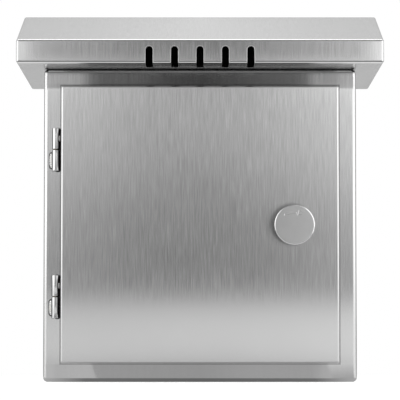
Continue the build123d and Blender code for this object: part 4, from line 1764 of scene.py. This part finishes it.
@dataclass(frozen=True)
class Card:
    """Flat card that reflections meet and the camera doesn't see.

    Attributes:
        name: Name of the card.
        corners: Its first corner and the two beside that, in millimetres.
        levels: Places along an axis, in metres, and the light there.
        axis: Number of that axis.
        lights: Whether it also lights the floor.
    """

    name: str
    corners: tuple[Triple, Triple, Triple]
    levels: Levels
    axis: int = 0
    lights: bool = False


CARDS = (
    Card("dark_bar", ((-190, -132, 290.4), (190, -132, 290.4), (-190, -132, 299.8)), (
        (-0.190, 0.74), (-0.148, 0.62), (-0.138, 0.55), (-0.118, 0.54), (-0.109, 0.28), (-0.105, 0.15),
        (-0.060, 0.14), (-0.030, 0.08), (0.0, 0.06), (0.060, 0.12), (0.101, 0.16), (0.108, 0.32),
        (0.114, 0.50), (0.124, 0.40), (0.132, 0.45), (0.140, 0.62), (0.190, 0.74),
    )),
    Card("dark_sill", ((-190, -132, 286.3), (190, -132, 286.3), (-190, -132, 290.4)), (
        (-0.190, 0.74), (-0.148, 0.60), (-0.138, 0.42), (-0.122, 0.52), (-0.114, 0.34), (-0.109, 0.14),
        (-0.105, 0.070), (-0.060, 0.070), (-0.030, 0.042), (0.0, 0.033), (0.060, 0.062), (0.090, 0.095),
        (0.101, 0.13), (0.108, 0.27), (0.114, 0.48), (0.132, 0.48), (0.140, 0.64), (0.190, 0.76),
    )),
    Card("slot_shade", ((-72, -128, 300.2), (72, -128, 300.2), (-72, -128, 320)), (
        (-0.072, 0.0), (0.072, 0.0),
    )),
    Card("lip_card", ((-172, -150, 288.0), (172, -150, 288.0), (-172, -132, 286.1)), (
        (-0.172, 0.95), (-0.10, 0.80), (0.0, 0.75), (0.10, 0.80), (0.172, 0.95),
    )),
    Card("floor_card", ((-500, -950, -0.3), (500, -950, -0.3), (-500, 0, -0.3)), (
        (-0.95, 0.20), (-0.52, 0.26), (-0.42, 0.55), (-0.36, 0.76), (-0.22, 0.76), (0.0, 0.68),
    ), axis=1),
    Card("sill_card", ((-165, -113, -0.1), (165, -113, -0.1), (-165, 0, -0.1)), (
        (-0.165, 0.75), (-0.140, 0.55), (-0.110, 0.24), (0.0, 0.20),
        (0.110, 0.24), (0.140, 0.55), (0.165, 0.75),
    )),
    Card("left_kerb", ((-150, -100, 0), (-98, -100, 0), (-156, -100, 17.2)), (
        (-0.176, 0.72), (-0.142, 0.72), (-0.138, 0.66), (-0.118, 0.69), (-0.098, 0.68),
    )),
    Card("right_kerb", ((-98, -100, 0), (128, -100, 0), (-104, -100, 17.2)), (
        (-0.104, 0.49), (0.0, 0.46), (0.050, 0.515), (0.108, 0.52), (0.120, 0.62), (0.128, 0.65),
    )),
    Card("corner_kerb", ((128, -100, 0), (155, -100, 0), (122, -100, 17.2)), (
        (0.0, 0.52), (0.0063, 0.61), (0.0102, 0.70), (0.0141, 0.78), (0.0172, 0.88),
    ), axis=2),
    Card("soft_box_above", ((-700, -200, 1500), (700, -200, 1500), (-700, 350, 1500)), (
        (-0.7, 2.0), (0.0, 2.3), (0.7, 2.0),
    ), lights=True),
    Card("grey_above", ((-900, -1100, 1499), (900, -1100, 1499), (-900, -200, 1499)), (
        (-0.9, 0.36), (0.0, 0.27), (0.9, 0.36),
    )),
    Card("left_end_card", ((-225, -250, 308), (-164, -250, 308), (-225, -250, 346)), (
        (-0.225, 1.25), (-0.176, 1.2), (-0.164, 0.75),
    )),
    Card("right_end_card", ((166, -250, 308), (225, -250, 308), (166, -250, 346)), (
        (0.166, 0.9), (0.178, 1.5), (0.225, 1.7),
    )),
)


@dataclass
class Studio:
    """White floor, a ring of soft light, small cards and the camera.

    Attributes:
        camera_place: Where the camera stands, in metres.
        camera_pitch: How far it looks up, in degrees.
        lens: Focal length in millimetres.
        sensor: Width of the camera's sensor in millimetres.
        far: Farthest distance that the camera sees, in metres.
        even_light: Strength of the surroundings where they are not seen.
        floor_grey: Grey of the floor's paint.
        floor_glow: Light of the floor where it is seen.
        floor_half: Half the floor's width, in millimetres.
        floor_drop: How far the floor lies below the enclosure, in millimetres.
        ring_radius: Radius of the light ring, in millimetres.
        ring_height: Height of the light ring, in metres.
        ring_tilt: How much more light the ring's front has to the right, in a metre.
    """

    camera_place: Triple = (0.0, -2.61473, 0.008)
    camera_pitch: float = 3.76
    lens: float = 237.5
    sensor: float = 36.0
    far: float = 50.0
    even_light: float = 0.7
    floor_grey: float = 0.80
    floor_glow: float = 0.45
    floor_half: float = 12000.0
    floor_drop: float = 0.5
    ring_radius: float = 1000.0
    ring_height: float = 1.30
    ring_tilt: float = 0.38

    def add_camera(self) -> None:
        """Puts the camera where the photograph was taken."""
        data = bpy.data.cameras.new("camera")
        data.lens = self.lens
        data.sensor_width = self.sensor
        data.clip_end = self.far
        camera = linked("camera", data)
        camera.location = self.camera_place
        camera.rotation_euler = (math.radians(90 + self.camera_pitch), 0, 0)
        bpy.context.scene.camera = camera

    @staticmethod
    def seen_rays(graph: Graph) -> Link:
        """1 for rays from the camera, a reflection or glass, else 0."""
        path = graph.add("ShaderNodeLightPath", {}, {}, "Is Camera Ray")
        glossy = path.math("MAXIMUM", path.output("Is Glossy Ray"))
        return glossy.math("MAXIMUM", path.output("Is Transmission Ray"))

    def add_world(self) -> None:
        """White surroundings that also light the object evenly."""
        world = bpy.data.worlds.new("white_surroundings")
        world.use_nodes = True
        bpy.context.scene.world = world
        graph = Graph(world.node_tree)
        strength = self.even_light + self.seen_rays(graph) * (1 - self.even_light)
        light = graph.add("ShaderNodeBackground", {}, {"Color": grey(1.0), "Strength": strength})
        graph.add("ShaderNodeOutputWorld", {}, {"Surface": light})

    @staticmethod
    def add_stage_piece(name: str, points: Array, material: bpy.types.Material,
                        wrap: bool = False) -> bpy.types.Object:
        """Mesh object that isn't part of the enclosure.

        Args:
            name: Name of the object.
            points: Grid of its points, in millimetres.
            material: Its material.
            wrap: Whether its last column joins the first.

        Returns:
            The new object.
        """
        surface = Surface.grid(points, wrap_columns=wrap)
        mesh = bpy.data.meshes.new(name)
        mesh.from_pydata(surface.points * MM, [], surface.quads)
        mesh.materials.append(material)
        mesh.shade_smooth()
        piece = linked(name, mesh)
        return piece

    def add_floor(self) -> None:
        """Pale floor that keeps the enclosure's shadow."""
        material, graph = new_material("pale_floor")
        paint = graph.add("ShaderNodeBsdfDiffuse", {}, {"Color": grey(self.floor_grey)})
        strength = self.seen_rays(graph) * self.floor_glow
        glow = graph.add("ShaderNodeEmission", {}, {"Color": grey(1.0), "Strength": strength})
        both = graph.add("ShaderNodeAddShader", {}, {0: paint, 1: glow})
        graph.add("ShaderNodeOutputMaterial", {}, {"Surface": both})
        side = np.linspace(-self.floor_half, self.floor_half, 3)
        points = np.stack(np.meshgrid(side, side, -self.floor_drop, indexing="ij"), axis=-1)[:, :, 0]
        self.add_stage_piece("floor", points, material)

    @staticmethod
    def light_along(graph: Graph, at: Link, levels: Levels, start: float = 0.0, end: float = 1.0) -> Link:
        """Light that changes along one measure, in straight lines from level to level.

        Args:
            graph: Node tree that it belongs to.
            at: The measure.
            levels: Places on that measure and the light at each.
            start: Where the measure begins.
            end: Where it ends.

        Returns:
            The light.
        """
        span = end - start
        stops = [((place - start) / span, level / TOP_LEVEL) for place, level in levels]
        ramp = graph.add("ShaderNodeValToRGB", {"stops": stops}, {"Fac": (at - start) / span})
        return ramp.parts()[0] * TOP_LEVEL

    def add_light(self, material: bpy.types.Material, level: Link, points: Array, lights: bool,
                  wrap: bool = False) -> None:
        """Glowing surface that the camera doesn't see and that casts no shadow.

        Args:
            material: Its material, which also names it.
            level: Its light, in the material's graph.
            points: Grid of its points, in millimetres.
            lights: Whether it also lights what doesn't reflect it.
            wrap: Whether its last column joins the first.
        """
        light = level.graph.add("ShaderNodeEmission", {}, {"Color": grey(1.0), "Strength": level})
        level.graph.add("ShaderNodeOutputMaterial", {}, {"Surface": light})
        piece = self.add_stage_piece(material.name, points, material, wrap)
        piece.visible_camera = False
        piece.visible_shadow = False
        piece.visible_diffuse = lights

    def add_light_ring(self) -> None:
        """Upright ring of soft light round the enclosure.

        Its front is dim, with a bright band low down. Two tall soft boxes stand at the front's sides,
        and its back is an even pale grey.
        """
        material, graph = new_material("soft_light_ring")
        x, y, z = graph.place().parts()
        front, back, wing_gain, tip_gain, box_light = (
            self.light_along(graph, z, levels, end=self.ring_height)
            for levels in (RING_FRONT, RING_BACK, WING_GAIN, TIP_GAIN, BOX_LIGHT)
        )
        turn = abs(x.math("ARCTAN2", y * -1.0)) / math.pi
        wings, tips, box, behind, back_gain = (
            self.light_along(graph, turn, levels)
            for levels in (WINGS, TIPS, BOX_SHARE, BACK_SHARE, BACK_GAIN)
        )
        ahead = front * (1 + wings * wing_gain + tips * tip_gain) * (1 + x * self.ring_tilt)
        plain = ahead * (1 - behind) + back * back_gain * behind
        level = plain * (1 - box) + box * box_light
        angle = np.linspace(0, TURN, 96, endpoint=False)
        height = np.linspace(0, self.ring_height / MM, 12)[:, None]
        places = (self.ring_radius * np.cos(angle), self.ring_radius * np.sin(angle), height)
        points = np.stack(np.broadcast_arrays(*places), axis=-1)
        self.add_light(material, level, points, lights=True, wrap=True)

    def add_card(self, card: Card) -> None:
        """Makes one card, whose points are first + s (second - first) + t (third - first)."""
        material, graph = new_material(card.name)
        at = graph.place().parts()[card.axis]
        level = self.light_along(graph, at, card.levels, card.levels[0][0], card.levels[-1][0])
        first, second, third = np.array(card.corners, float)
        share = np.linspace(0, 1, 3)
        points = first + share[:, None, None] * (second - first) + share[None, :, None] * (third - first)
        self.add_light(material, level, points, card.lights)

    def build(self) -> None:
        """Makes the camera, the surroundings, the floor, the light ring and the cards."""
        bpy.context.scene.view_settings.view_transform = "Standard"
        self.add_camera()
        self.add_world()
        self.add_floor()
        self.add_light_ring()
        for card in CARDS:
            self.add_card(card)


def main() -> None:
    """Builds every sub-assembly and the studio."""
    logging.basicConfig(level=logging.INFO, format="%(message)s")
    Cabinet().build()
    RainHood().build()
    Door().build()
    for level, height in zip(("upper", "lower"), HINGE_HEIGHTS):
        Hinge(level, height).build()
    Lock().build()
    EquipmentPlate().build()
    CableEntry().build()
    PoleMount().build()
    Studio().build()


if __name__ == "__main__":
    main()
